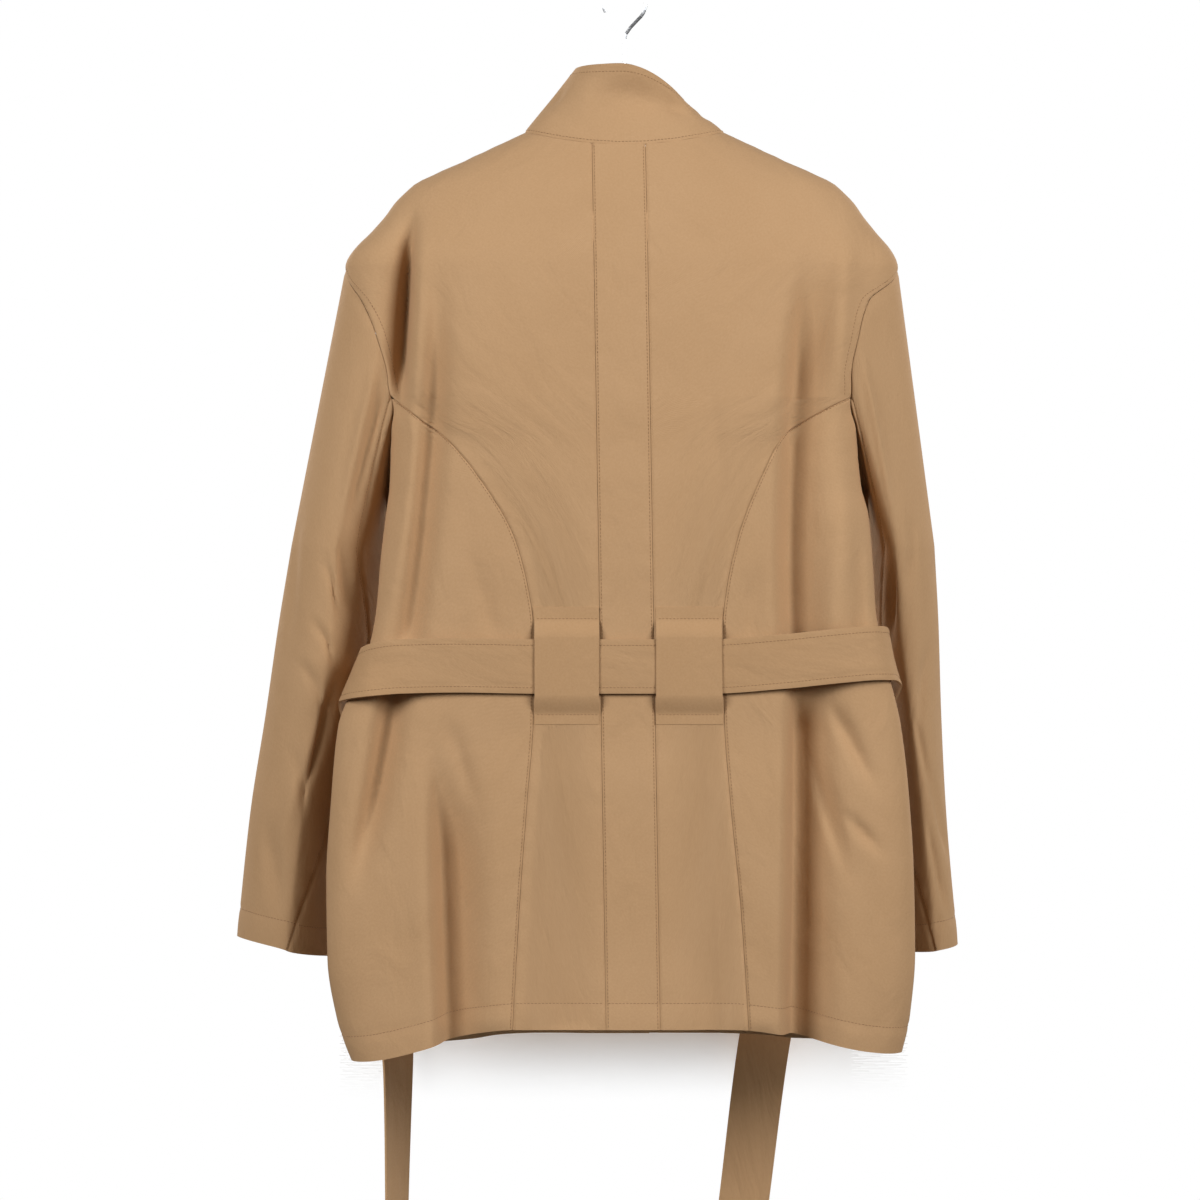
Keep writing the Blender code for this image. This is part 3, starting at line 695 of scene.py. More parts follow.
@dataclass
class ClothGrid:
    """Rows and columns of points on a piece of cloth, the way it faces, and its place on the flat cut.

    Attributes:
        points: Rows by columns by three, in millimetres.
        normals: The same, one long.
        flat: Rows by columns by two, distances along the cut in millimetres.
    """

    points: np.ndarray
    normals: np.ndarray
    flat: np.ndarray = field(init=False)

    def __post_init__(self) -> None:
        """Measures the cut along its rows and down its columns."""
        across = np.linalg.norm(np.diff(self.points, axis=1), axis=2)
        down = np.linalg.norm(np.diff(self.points, axis=0), axis=2)
        u = np.concatenate([np.zeros((len(across), 1)), np.cumsum(across, axis=1)], axis=1)
        v = np.concatenate([np.zeros((1, down.shape[1])), np.cumsum(down, axis=0)], axis=0)
        middle = u[:, u.shape[1] // 2][:, None]
        self.flat = np.stack([u - middle, v], axis=2)

    def raise_by(self, height: np.ndarray) -> None:
        """Moves each point along the way it faces, by its height in millimetres."""
        self.points = self.points + self.normals * height[..., None]

    def groove(self, left: bool = True, right: bool = True) -> None:
        """Rolls the cloth in at its seamed edges, where the allowance pulls it under, and puckers it there.

        Args:
            left: Whether the first column is a seam.
            right: Whether the last column is one.
        """
        from_left = self.flat[..., 0] - self.flat[:, :1, 0]
        from_right = from_left[:, -1:] - from_left
        dip = bell(from_left, SEAM_WIDTH) * left + bell(from_right, SEAM_WIDTH) * right
        near = bell(from_left, SEAM_PUCKER_WIDTH) * left + bell(from_right, SEAM_PUCKER_WIDTH) * right
        pucker = PUCKER * SEAM_BEAT.at(self.flat[..., 1]) * near
        self.raise_by(pucker - SEAM_DEPTH * np.minimum(dip, 1.0))

    def turn_up(self, height: float, depth: float = 0.5) -> None:
        """Presses in a line of stitching above a turned-up bottom edge, which stands out a little.

        Args:
            height: How far above the edge.
            depth: How deep the stitching pulls.
        """
        up = self.flat[-1:, :, 1] - self.flat[..., 1]
        fullness = HEM_FULLNESS * bell(up - height / 2, height / HEM_FULL_SHARE)
        pucker = PUCKER * HEM_BEAT.at(self.flat[..., 0]) * bell(up - height, HEM_PUCKER_WIDTH)
        self.raise_by(fullness + pucker - depth * bell(up - height, STITCH_PULL_WIDTH))

    def down_line(self, offset: float, from_right: bool = False) -> Line:
        """A line down the piece at a distance from its left edge, or from its right one."""
        return inset(self.points, self.normals, offset, from_right)

    def across_line(self, offset: float, from_top: bool = False) -> Line:
        """A line across the piece at a distance from its bottom edge, or from its top one."""
        columns = (self.points.swapaxes(0, 1), self.normals.swapaxes(0, 1))
        return inset(*columns, offset, not from_top)

    def cells(self) -> np.ndarray:
        """The way each cell faces by the order of rows and columns, as long as its first corner's area."""
        p = self.points
        return np.cross(p[1:, :-1] - p[:-1, :-1], p[:-1, 1:] - p[:-1, :-1])

    def size(self, cut: Cut) -> tuple[float, float, float | None]:
        """The flat cut's width, length and area.

        Args:
            cut: How its length is measured.

        Returns:
            Width and length in metres and area in square metres, or None for a rectangle.
        """
        p = self.points
        first = np.linalg.norm(self.cells(), axis=2)
        second = np.linalg.norm(np.cross(p[1:, 1:] - p[:-1, 1:], p[1:, 1:] - p[1:, :-1]), axis=2)
        area = float((first.sum() + second.sum()) / 2) * MM * MM
        wide = float(np.linalg.norm(np.diff(p, axis=1), axis=2).sum(axis=1).max()) * MM
        columns = np.linalg.norm(np.diff(p, axis=0), axis=2).sum(axis=0)
        if cut is Cut.STRIP:
            return wide, float(columns[len(columns) // 2]) * MM, None
        if cut is Cut.STANDING:
            return wide, float(columns.max()) * MM, area
        return wide, float(np.ptp(p[..., 2])) * MM, area


def body_panel(
    half: Half,
    rows: Sequence[float],
    left: Edge,
    right: Edge,
    sink: Callable[[np.ndarray], np.ndarray] | None = None,
) -> ClothGrid:
    """One panel of the body between two edges.

    Args:
        half: Back or front.
        rows: The drops of its rows.
        left: Gives the left edge's place across at a drop.
        right: Gives the right edge's.
        sink: Gives how far in it lies at places across, if it runs under another.

    Returns:
        The panel's grid.
    """
    spans, longest = [], 0.0
    for drop in rows:
        points, normals = body_line(half, drop)
        if sink is not None:
            points = points - normals * sink(points[:, 0])[:, None]
        run = run_length(points)
        ends = np.interp([left(drop), right(drop)], points[:, 0], run)
        gap = SEAM_GAP / 2 * (not FRONT_NECK_TOP < drop < FRONT_NECK_FOOT)
        spans.append((points, normals, run, ends, gap))
        longest = max(longest, ends[1] - ends[0])
    columns = max(4, round(longest / COLUMN_STEP))
    grid, facing = [], []
    for points, normals, run, ends, gap in spans:
        # Side seams close fully, and so do all seams level with the front neck, or light would show through.
        first = ends[0] + gap * (ends[0] > SEAM_GAP)
        last = ends[1] - gap * (ends[1] < run[-1] - SEAM_GAP)
        at = first + spread(last - first, columns)
        grid.append(resample(points, run, at))
        facing.append(unit(resample(normals, run, at)))
    return ClothGrid(np.array(grid), np.array(facing))


def link(name: str, data: bpy.types.ID) -> bpy.types.Object:
    """Puts a new object into the scene.

    Args:
        name: Its name.
        data: Its mesh, light or camera.

    Returns:
        The object.
    """
    made = bpy.data.objects.new(name, data)
    bpy.context.scene.collection.objects.link(made)
    return made


def add_mesh(name: str, vertices: np.ndarray, faces: list, material: bpy.types.Material) -> bpy.types.Object:
    """Puts a new mesh into the scene.

    Args:
        name: Its name.
        vertices: Its points, in metres.
        faces: The numbers of each face's points.
        material: Its finish.

    Returns:
        The object.
    """
    mesh = bpy.data.meshes.new(name)
    mesh.from_pydata(vertices.tolist(), [], faces)
    mesh.materials.append(material)
    return link(name, mesh)


@dataclass
class Thread:
    """Stitches gathered into one mesh, with sizes in millimetres."""

    name: str
    pitch: float = 3.0
    length: float = 2.3
    width: float = 0.62
    height: float = 0.34
    foot_sunk: float = 0.05
    full_width_share: float = 0.6
    direction_probe: float = 0.4
    vertices: list[np.ndarray] = field(default_factory=list)

    def sew(self, line: Line) -> None:
        """Sews a row of stitches along a line on the cloth.

        Args:
            line: Points and normals.
        """
        points, normals = line
        run = run_length(points)
        if run[-1] < 2 * self.pitch:
            return
        at = np.arange(self.pitch, run[-1] - self.pitch / 2, self.pitch)
        middle = resample(points, run, at)
        probe = self.direction_probe
        along = unit(resample(points, run, at + probe) - resample(points, run, at - probe))
        up = unit(resample(normals, run, at))
        side = unit(np.cross(along, up)) * self.width / 2
        half = along * self.length / 2
        low = middle - up * self.foot_sunk
        ring = []
        for share in (-self.full_width_share, self.full_width_share):
            foot = low + half * share
            ring += [foot - side, foot + up * self.height, foot + side]
        self.vertices.extend(np.stack([low - half, *ring, low + half], axis=1))

    def build(self, material: bpy.types.Material) -> bpy.types.Object:
        """Makes the mesh.

        Args:
            material: The thread's finish.

        Returns:
            The object.
        """
        shape = [(0, 1, 2), (0, 2, 3), (0, 3, 1)]
        shape += [(1, 4, 5, 2), (2, 5, 6, 3), (3, 6, 4, 1)]
        shape += [(7, 5, 4), (7, 6, 5), (7, 4, 6)]
        faces = [tuple(8 * n + i for i in face) for n in range(len(self.vertices)) for face in shape]
        piece = add_mesh(self.name, np.concatenate(self.vertices) * MM, faces, material)
        piece.data.shade_smooth()
        LOG.info("%s: %d stitches", self.name, len(self.vertices))
        return piece


@dataclass(frozen=True)
class Shell:
    """How a grid becomes a thin closed shell that stands for a node of the frame."""

    node: str
    slot: str = "cotton_twill"
    cloth: float = CLOTH
    weave: Weave = Weave.LENGTHWISE
    cut: Cut = Cut.HANGING
    rests_on: tuple[str, ...] = ("hanger_bar",)

    def build(self, grid: ClothGrid, material: bpy.types.Material) -> bpy.types.Object:
        """Args:
            grid: Its outer points.
            material: Its finish.

        Returns:
            The object.
        """
        rows, columns = grid.points.shape[:2]
        inner = grid.points - grid.normals * self.cloth
        vertices = np.concatenate([grid.points.reshape(-1, 3), inner.reshape(-1, 3)]) * MM
        index = np.arange(rows * columns).reshape(rows, columns)
        a, b, c, d = index[:-1, :-1], index[1:, :-1], index[1:, 1:], index[:-1, 1:]
        outside = np.stack([a, b, c, d], axis=-1).reshape(-1, 4)
        shift = rows * columns
        inside = outside[:, ::-1] + shift
        rim = np.concatenate([index[0, :], index[1:, -1], index[-1, -2::-1], index[-2:0:-1, 0]])
        after = np.roll(rim, -1)
        edge = np.stack([rim, after, after + shift, rim + shift], axis=-1)
        faces = np.concatenate([outside, inside, edge])
        if np.sum(grid.cells() * grid.normals[:-1, :-1]) < 0:
            faces = faces[:, ::-1]
        piece = add_mesh(f"{self.node}_cloth", vertices, faces.tolist(), material)
        mesh = piece.data
        turn = math.radians(self.weave.value)
        flat = np.concatenate([grid.flat.reshape(-1, 2)] * 2) * MM
        flat = flat @ np.array([[math.cos(turn), math.sin(turn)], [-math.sin(turn), math.cos(turn)]])
        points = np.empty(len(mesh.loops), int)
        mesh.loops.foreach_get("vertex_index", points)
        mesh.uv_layers.new(name="cloth").data.foreach_set("uv", flat[points].ravel())
        mesh.shade_smooth()
        mesh.set_sharp_from_angle(angle=math.radians(SHARP_DEG))
        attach(piece, "root")
        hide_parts(self.node)
        wide, long, area = grid.size(self.cut)
        LOG.info("%s: %.0f by %.0f mm", piece.name, wide / MM, long / MM)
        return piece


class NodeKit:
    """The nodes of a material or a world, with one call to add a node, set it and link it."""

    def __init__(self, owner: bpy.types.Material | bpy.types.World, shader: str = "Principled BSDF") -> None:
        """Takes up the nodes that it starts with.

        Args:
            owner: The material or world.
            shader: The name of its first shader.
        """
        owner.use_nodes = True
        self.tree = owner.node_tree
        self.shader = self.tree.nodes[shader]

    def add(
        self, kind: str, output: str | int = 0, settings: dict | None = None, **inputs: object
    ) -> bpy.types.NodeSocket:
        """Adds a node.

        Args:
            kind: Its type, without the ShaderNode prefix.
            output: Which of its outputs is wanted.
            settings: Properties to set on it.
            inputs: A value or an output socket for each input, by its name in lower case with underscores.

        Returns:
            The output.
        """
        node = self.tree.nodes.new(f"ShaderNode{kind}")
        for name, value in (settings or {}).items():
            setattr(node, name, value)
        self.feed(node, **inputs)
        return node.outputs[output]

    def feed(self, node: bpy.types.Node, **inputs: object) -> None:
        """Sets or links a node's inputs.

        Args:
            node: The node.
            inputs: As for add.
        """
        sockets: dict[str, bpy.types.NodeSocket] = {}
        for socket in node.inputs:
            if socket.enabled:
                name = socket.name.lower().replace(" ", "_")
                sockets[f"{name}_2" if name in sockets else name] = socket
        for name, value in inputs.items():
            if isinstance(value, bpy.types.NodeSocket):
                self.tree.links.new(value, sockets[name])
            else:
                sockets[name].default_value = value


def linear(code: str) -> tuple[float, float, float, float]:
    """A hex sRGB colour as linear light.

    Args:
        code: Six hex digits.

    Returns:
        Red, green, blue and alpha.
    """
    shares = [int(code[i : i + 2], 16) / 255 for i in (0, 2, 4)]
    light = [c / 12.92 if c <= 0.04045 else ((c + 0.055) / 1.055) ** 2.4 for c in shares]
    return (*light, 1.0)


@dataclass(frozen=True)
class TwillFinish:
    """Fine cotton twill: matt, with a slight bloom at grazing angles and a rib too fine to count."""

    name: str
    shade: str
    worn: str
    rib_mm: float = 0.9
    lean_deg: float = 63.0
    rough: float = 0.86

    def build(self) -> bpy.types.Material:
        """Makes the material.

        Returns:
            The material.
        """
        material = bpy.data.materials.new(self.name)
        kit = NodeKit(material)
        cut = kit.add("UVMap", "UV", {"uv_map": "cloth"})
        lean = kit.add("Mapping", vector=cut, rotation=(0.0, 0.0, math.radians(self.lean_deg)))
        scale = 2 * math.pi / (20 * self.rib_mm * MM)
        rib = kit.add("TexWave", "Fac", {"wave_type": "BANDS"}, vector=lean, scale=scale, distortion=1.2)
        # Yarns vary in thickness, which a few millimetres away reads as a faint heather.
        yarn = kit.add("TexNoise", "Fac", vector=cut, scale=520.0, detail=3.0, roughness=0.6)
        speck = kit.add("MapRange", value=yarn, from_min=0.35, from_max=0.65, to_min=-0.12, to_max=0.2)
        # Garment dye takes unevenly over a hand's breadth.
        dye = kit.add("TexNoise", "Fac", vector=cut, scale=9.0, detail=4.0, roughness=0.55)
        tone = kit.add("MapRange", value=dye, from_min=0.3, from_max=0.7, to_min=0.0, to_max=0.35)
        share = kit.add("Math", settings={"use_clamp": True}, value=tone, value_2=speck)
        shades = {"a": linear(self.shade), "b": linear(self.worn)}
        colour = kit.add("Mix", 2, {"data_type": "RGBA"}, factor=share, **shades)
        # Washed cotton keeps small crumples, a finger's breadth across and longer along the warp.
        stretch = kit.add("Mapping", vector=cut, scale=(1.0, 0.55, 1.0), rotation=(0.0, 0.0, 0.2))
        crumple = kit.add("TexNoise", "Fac", vector=stretch, scale=34.0, detail=3.0, distortion=0.5)
        soft = kit.add("Bump", strength=0.7, distance=0.0032, height=crumple)
        relief = kit.add("Math", value=yarn, value_2=rib)
        bump = kit.add("Bump", strength=0.55, distance=0.00012, height=relief, normal=soft)
        kit.feed(
            kit.shader,
            base_color=colour,
            roughness=self.rough,
            sheen_weight=0.05,
            sheen_roughness=0.5,
            specular_ior_level=0.14,
            normal=bump,
        )
        return material


@dataclass(frozen=True)
class PlainFinish:
    """A smooth single-coloured finish, such as thread, lacquered wood or drawn wire."""

    name: str
    shade: str
    rough: float
    metal: float = 0.0
    grain_mm: float = 2.5
    wander: float = 0.06

    def build(self) -> bpy.types.Material:
        """Makes the material.

        Returns:
            The material.
        """
        material = bpy.data.materials.new(self.name)
        kit = NodeKit(material)
        place = kit.add("TexCoord", "Object")
        stretch = kit.add("Mapping", vector=place, scale=(0.08, 1.0, 1.0))
        streak = kit.add("TexNoise", "Fac", vector=stretch, scale=1 / (self.grain_mm * MM), detail=3.0)
        value = kit.add("MapRange", value=streak, to_min=1 - self.wander, to_max=1 + self.wander)
        tint = kit.add("HueSaturation", color=linear(self.shade), value=value)
        kit.feed(kit.shader, base_color=tint, roughness=self.rough, metallic=self.metal)
        return material


class Finishes:
    """Every material of the jacket and its hanger, made once."""

    def __init__(self) -> None:
        """Makes them."""
        self.twill = TwillFinish("cotton_twill_look", "BE9870", "CBA67F").build()
        self.doubled = TwillFinish("doubled_twill_look", "BA946C", "C7A27B").build()
        self.thread = PlainFinish("thread_look", "9C7650", 0.6).build()
        self.wood = PlainFinish("beech_look", "C9A27A", 0.45, grain_mm=3.0, wander=0.35).build()
        self.wire = PlainFinish("steel_wire_look", "8F9194", 0.35, metal=0.8).build()


@dataclass
class Sewn:
    """A sub-assembly of sewn pieces, with the finishes and the thread that it's made from."""

    look: Finishes
    thread: Thread

    def hem(self, node: str, grid: ClothGrid, turn: float) -> None:
        """Makes a panel with its bottom edge turned up and sewn.

        Args:
            node: The panel.
            grid: Its grid.
            turn: How far the edge is turned up.
        """
        grid.turn_up(turn)
        Shell(node).build(grid, self.look.twill)
        self.thread.sew(grid.across_line(turn))


@dataclass
class Back(Sewn):
    """The pieced back: a centre panel, two back panels and two side panels."""

    def build(self) -> None:
        """Makes the five panels with their seams, hems and stitching."""
        whole = drops(NECK_DROP, HEM_DROP, SHOULDER_TIP_DROP, PRINCESS_DROP, SIDE_TIP_DROP, UNDERARM_DROP)
        low = [drop for drop in whole if drop >= SIDE_TIP_DROP]
        panels = {
            "back_centre": (whole, lambda d: centre_x(d, "left"), lambda d: centre_x(d, "right")),
            "back_left": (whole, lambda d: outer_back_x(d, "left"), lambda d: centre_x(d, "left")),
            "back_right": (whole, lambda d: centre_x(d, "right"), lambda d: outer_back_x(d, "right")),
            "side_left": (low, lambda d: edge_x(d, "left", "back"), lambda d: outer_back_x(d, "left")),
            "side_right": (low, lambda d: outer_back_x(d, "right"), lambda d: edge_x(d, "right", "back")),
        }
        for node, (rows, left, right) in panels.items():
            grid = body_panel(BACK, rows, left, right)
            grid.groove()
            self.hem(node, grid, HEM_TURN)
            self.top_stitch(node, grid, rows)

    def top_stitch(self, node: str, grid: ClothGrid, rows: Sequence[float]) -> None:
        """Sews the lines beside a panel's seams.

        Args:
            node: The panel.
            grid: Its grid.
            rows: Its rows' drops.
        """
        if node == "back_centre":
            self.thread.sew(grid.down_line(SEAM_STITCH))
            self.thread.sew(grid.down_line(SEAM_STITCH, from_right=True))
            return
        right_seam = node in ("side_left", "back_right")
        if node.startswith("side"):
            self.thread.sew(grid.down_line(SEAM_STITCH, from_right=right_seam))
            return
        points, normals = grid.down_line(ARMHOLE_STITCH, from_right=right_seam)
        keep = [i for i, drop in enumerate(rows) if SHOULDER_TIP_DROP <= drop <= PRINCESS_DROP]
        self.thread.sew((points[keep], normals[keep]))


@dataclass
class Fronts(Sewn):
    """Two plain fronts; the left runs on under the right."""

    def build(self) -> None:
        """Makes both fronts with hems and an edge-stitched opening."""
        rows = drops(NECK_DROP, HEM_DROP, SHOULDER_TIP_DROP, UNDERARM_DROP)

        def under(x: np.ndarray) -> np.ndarray:
            """How far the left front lies behind the right one at places across."""
            return FRONT_UNDERLAP_DEPTH * ease((x + 3 * FRONT_OVERLAP) / (2 * FRONT_OVERLAP))

        left = body_panel(FRONT, rows, lambda d: edge_x(d, "left", "front"), lambda d: FRONT_OVERLAP, under)
        right = body_panel(FRONT, rows, lambda d: -FRONT_OVERLAP, lambda d: edge_x(d, "right", "front"))
        left.groove(right=False)
        right.groove(left=False)
        self.hem("front_left", left, HEM_TURN)
        self.hem("front_right", right, HEM_TURN)
        self.thread.sew(right.down_line(OPENING_STITCH))


@dataclass
class Sleeve(Sewn):
    """A two-piece sleeve from its armhole to its cuff."""

    side: str
    table: tuple[SleeveRow, ...]
    creases: tuple[SleeveCrease, ...]
    hind_columns: int = 28
    under_columns: int = 46
    armhole_rings: int = 34
    crease_radius: float = 52.0
    crease_fade: float = 0.45
    plain_rings: float = 6.0

    def armhole(self) -> Line:
        """The cut edge of the armhole: down the back, under the arm and up the front.

        Returns:
            Points and normals round it.
        """
        upper = np.linspace(SHOULDER_TIP_DROP, PRINCESS_DROP, self.hind_columns + 1)
        lower = np.linspace(PRINCESS_DROP, UNDERARM_DROP, self.under_columns - self.hind_columns + 1)
        down = [*upper, *lower[1:]]
        stops = [(BACK, drop) for drop in down] + [(FRONT, drop) for drop in reversed(down[1:-1])]
        points, normals = [], []
        for half, drop in stops:
            along, facing = body_line(half, float(drop))
            if drop in (SHOULDER_TIP_DROP, UNDERARM_DROP):
                end = 0 if self.side == "left" else -1
                points.append(along[end])
                normals.append(facing[end])
                continue
            x = np.array([edge_x(float(drop), self.side, half.name)])
            points.append(resample(along, along[:, 0], x)[0])
            normals.append(resample(facing, along[:, 0], x)[0])
        return np.array(points), unit(np.array(normals))

    def angles(self, row: dict[str, float], count: int) -> np.ndarray:
        """Where each of a section's columns lies round it, in degrees from the outer fold by the back."""
        stops = [0, self.hind_columns, self.under_columns, count - self.hind_columns, count]
        return np.interp(np.arange(count), stops, [0, row["hind_angle"], 180, row["fore_angle"], 360])

    def section(self, drop: float, count: int) -> Line:
        """One section of the sleeve.

        Args:
            drop: How far down.
            count: How many columns.

        Returns:
            Points and their angles.
        """
        row = {column: float(smooth(self.table, column, drop)) for column in SleeveRow._fields}
        turn = self.angles(row, count)
        c, s = np.cos(np.radians(turn)), np.sin(np.radians(turn))
        centre = np.array([(row["outer_x"] + row["inner_x"]) / 2, (row["ridge_y"] + row["front_y"]) / 2])
        corners = ("outer", "inner", "ridge", "front")
        outer, inner, ridge, front = (np.array([row[f"{k}_x"], row[f"{k}_y"]]) - centre for k in corners)
        side = np.where((c > 0)[:, None], outer, inner) * (np.abs(c) ** SLEEVE_ROUND)[:, None]
        depth = np.where((s > 0)[:, None], ridge, front) * (np.abs(s) ** SLEEVE_ROUND)[:, None]
        z = -(HOOK_TO_NECK + drop + row["slant"] * (1 - c) / 2)
        return np.column_stack([centre + side + depth, z]), turn

    def rings(self) -> Line:
        """Rings from the armhole to the cuff, creased.

        Returns:
            Points and normals, rings by columns.
        """
        hole, hole_normals = self.armhole()
        count = len(hole)
        beyond = -1 if self.side == "left" else 1
        along = unit(np.roll(hole, -1, axis=0) - np.roll(hole, 1, axis=0))
        away = unit(np.cross(along, hole_normals))
        away *= np.sign(beyond * away[1 : self.hind_columns, 0].mean())
        first = hole + away * SEAM_GAP
        top, turn = self.section(self.table[0].drop, count)
        near = np.cos(np.pi * (np.arange(count) - self.under_columns) / count) ** 4
        clear = np.array([beyond * ARMPIT_CLEARANCE, 0.0, 0.0])
        rings, turns = [first], [turn]
        for t in np.linspace(0, 1, self.armhole_rings + 1)[1:-1]:
            rings.append(first + (top - first) * t + clear * (near * math.sin(math.pi * t) ** 0.5)[:, None])
            turns.append(turn)
        steps = round((self.table[-1].drop - self.table[0].drop) / ROW_STEP)
        for drop in np.linspace(self.table[0].drop, self.table[-1].drop, steps + 1):
            ring, turn = self.section(float(drop), count)
            rings.append(ring)
            turns.append(turn)
        grid = np.array(rings)
        facing = self.normals(grid)
        seam = unit(facing[0] + hole_normals)
        facing[0] = unit(seam - away * np.maximum(np.sum(seam * away, axis=1, keepdims=True), 0.0))
        grid = grid + facing * self.crease(grid, np.array(turns))[..., None]
        facing[1:] = self.normals(grid)[1:]
        return grid, facing

    @staticmethod
    def normals(grid: np.ndarray) -> np.ndarray:
        """The way a closed tube of rings faces.

        Args:
            grid: Rings by columns.

        Returns:
            Normals that point out of the tube.
        """
        around = np.roll(grid, -1, axis=1) - np.roll(grid, 1, axis=1)
        facing = unit(np.cross(around, np.gradient(grid, axis=0)))
        outwards = np.sum(facing * (grid - grid.mean(axis=1, keepdims=True)), axis=(1, 2))
        return facing * np.where(outwards < 0, -1, 1)[:, None, None]

    def crease(self, grid: np.ndarray, turns: np.ndarray) -> np.ndarray:
        """How far the creases lift the cloth.

        Args:
            grid: The rings.
            turns: The columns' angles on each ring.

        Returns:
            A height for each point.
        """
        drop = -grid[..., 2] - HOOK_TO_NECK
        height = np.zeros(turns.shape)
        for crease in self.creases:
            t = (drop - crease.drop_top) / (crease.drop_bottom - crease.drop_top)
            middle = crease.angle_top + (crease.angle_bottom - crease.angle_top) * np.clip(t, 0, 1)
            off = np.radians(np.abs((turns - middle + 180) % 360 - 180)) * self.crease_radius
            strength = ease(t / self.crease_fade) * ease((1 - t) / self.crease_fade)
            height += crease.height * strength * bell(off, crease.width)
        return height * ease(np.arange(len(grid)) / self.plain_rings)[:, None]

    def build(self) -> None:
        """Makes the upper and the under piece with seams, cuff hem and stitching."""
        grid, facing = self.rings()
        count = grid.shape[1]
        fore = count - self.hind_columns
        pieces = {
            f"sleeve_{self.side}_under": np.arange(self.hind_columns, fore + 1),
            f"sleeve_{self.side}_upper": np.arange(fore, count + self.hind_columns + 1) % count,
        }
        for node, columns in pieces.items():
            cloth = ClothGrid(grid[:, columns], facing[:, columns])
            cloth.groove()
            cloth.raise_by(-SEAM_DEPTH * bell(cloth.flat[..., 1], SEAM_WIDTH))
            self.hem(node, cloth, CUFF_TURN)
            if node.endswith("upper"):
                self.thread.sew(cloth.down_line(SEAM_STITCH, from_right=True))


@dataclass
class Collar(Sewn):
    """A stand collar that leans in from the neck seam and has slumped at its right."""

    columns: int = 150
    rows: int = 26
    hollow: float = 6.0
    front_gap_deg: float = 2.5
    front_lift: float = 0.9
    foot_pull: float = 0.25

    @staticmethod
    def neck(angle: float) -> np.ndarray:
        """The neck seam at an angle from the front opening by the left shoulder.

        Args:
            angle: Radians.

        Returns:
            The point.
        """
        points, _ = body_line(FRONT if math.cos(angle) > 0 else BACK, NECK_DROP)
        x = math.sin(angle) * (BODY[0].left_x if math.sin(angle) > 0 else -BODY[0].right_x)
        return resample(points, points[:, 0], np.array([x]))[0]

    def build(self) -> None:
        """Makes the collar."""
        gap = math.radians(self.front_gap_deg)
        angles = np.linspace(gap, 2 * math.pi - gap, self.columns + 1)
        heights = np.linspace(0, 1, self.rows + 1)
        columns = []
        for angle in angles:
            sine, cosine = math.sin(angle), math.cos(angle)
            lift = SEAM_GAP * (1 + abs(sine)) + self.front_lift * max(cosine, 0.0)
            base = self.neck(angle) + np.array([0, 0, lift])
            side = COLLAR_LEFT if sine > 0 else COLLAR_RIGHT
            end = COLLAR_FRONT if cosine > 0 else COLLAR_BACK
            drop = side.drop * sine**2 + end.drop * cosine**2
            x = COLLAR_BACK.x * cosine**2 + side.x * abs(sine)
            top = np.array([x, side.y * sine**2 + end.y * abs(cosine), -(HOOK_TO_NECK + drop)])
            column = base + (top - base) * heights[:, None]
            column[:, 1] += self.hollow * max(-cosine, 0.0) * np.sin(math.pi * heights)
            columns.append(column)
        points = np.array(columns).transpose(1, 0, 2)
        normals = unit(np.cross(np.gradient(points, axis=1), np.gradient(points, axis=0)))
        outwards = np.sum(normals[..., :2] * (points - points.mean(axis=1, keepdims=True))[..., :2])
        grid = ClothGrid(points[::-1].copy(), (normals if outwards > 0 else -normals)[::-1].copy())
        up = grid.flat[-1:, :, 1] - grid.flat[..., 1]
        grid.raise_by(-SEAM_DEPTH * bell(up, SEAM_WIDTH))
        turn, share = np.degrees(angles)[None, :], heights[::-1][:, None]
        for dent in COLLAR_DENTS:
            near = bell(turn - dent.angle, dent.angle_width) * bell(share - dent.share, dent.share_width)
            grid.raise_by(-dent.depth * near)
        grid.turn_up(COLLAR_FOOT_STITCH, self.foot_pull)
        shell = Shell("collar", cloth=COLLAR_CLOTH, weave=Weave.CROSSWISE, cut=Cut.STANDING)
        shell.build(grid, self.look.twill)
        self.thread.sew(grid.across_line(COLLAR_FOOT_STITCH))
        self.thread.sew(grid.across_line(COLLAR_TOP_STITCH, from_top=True))


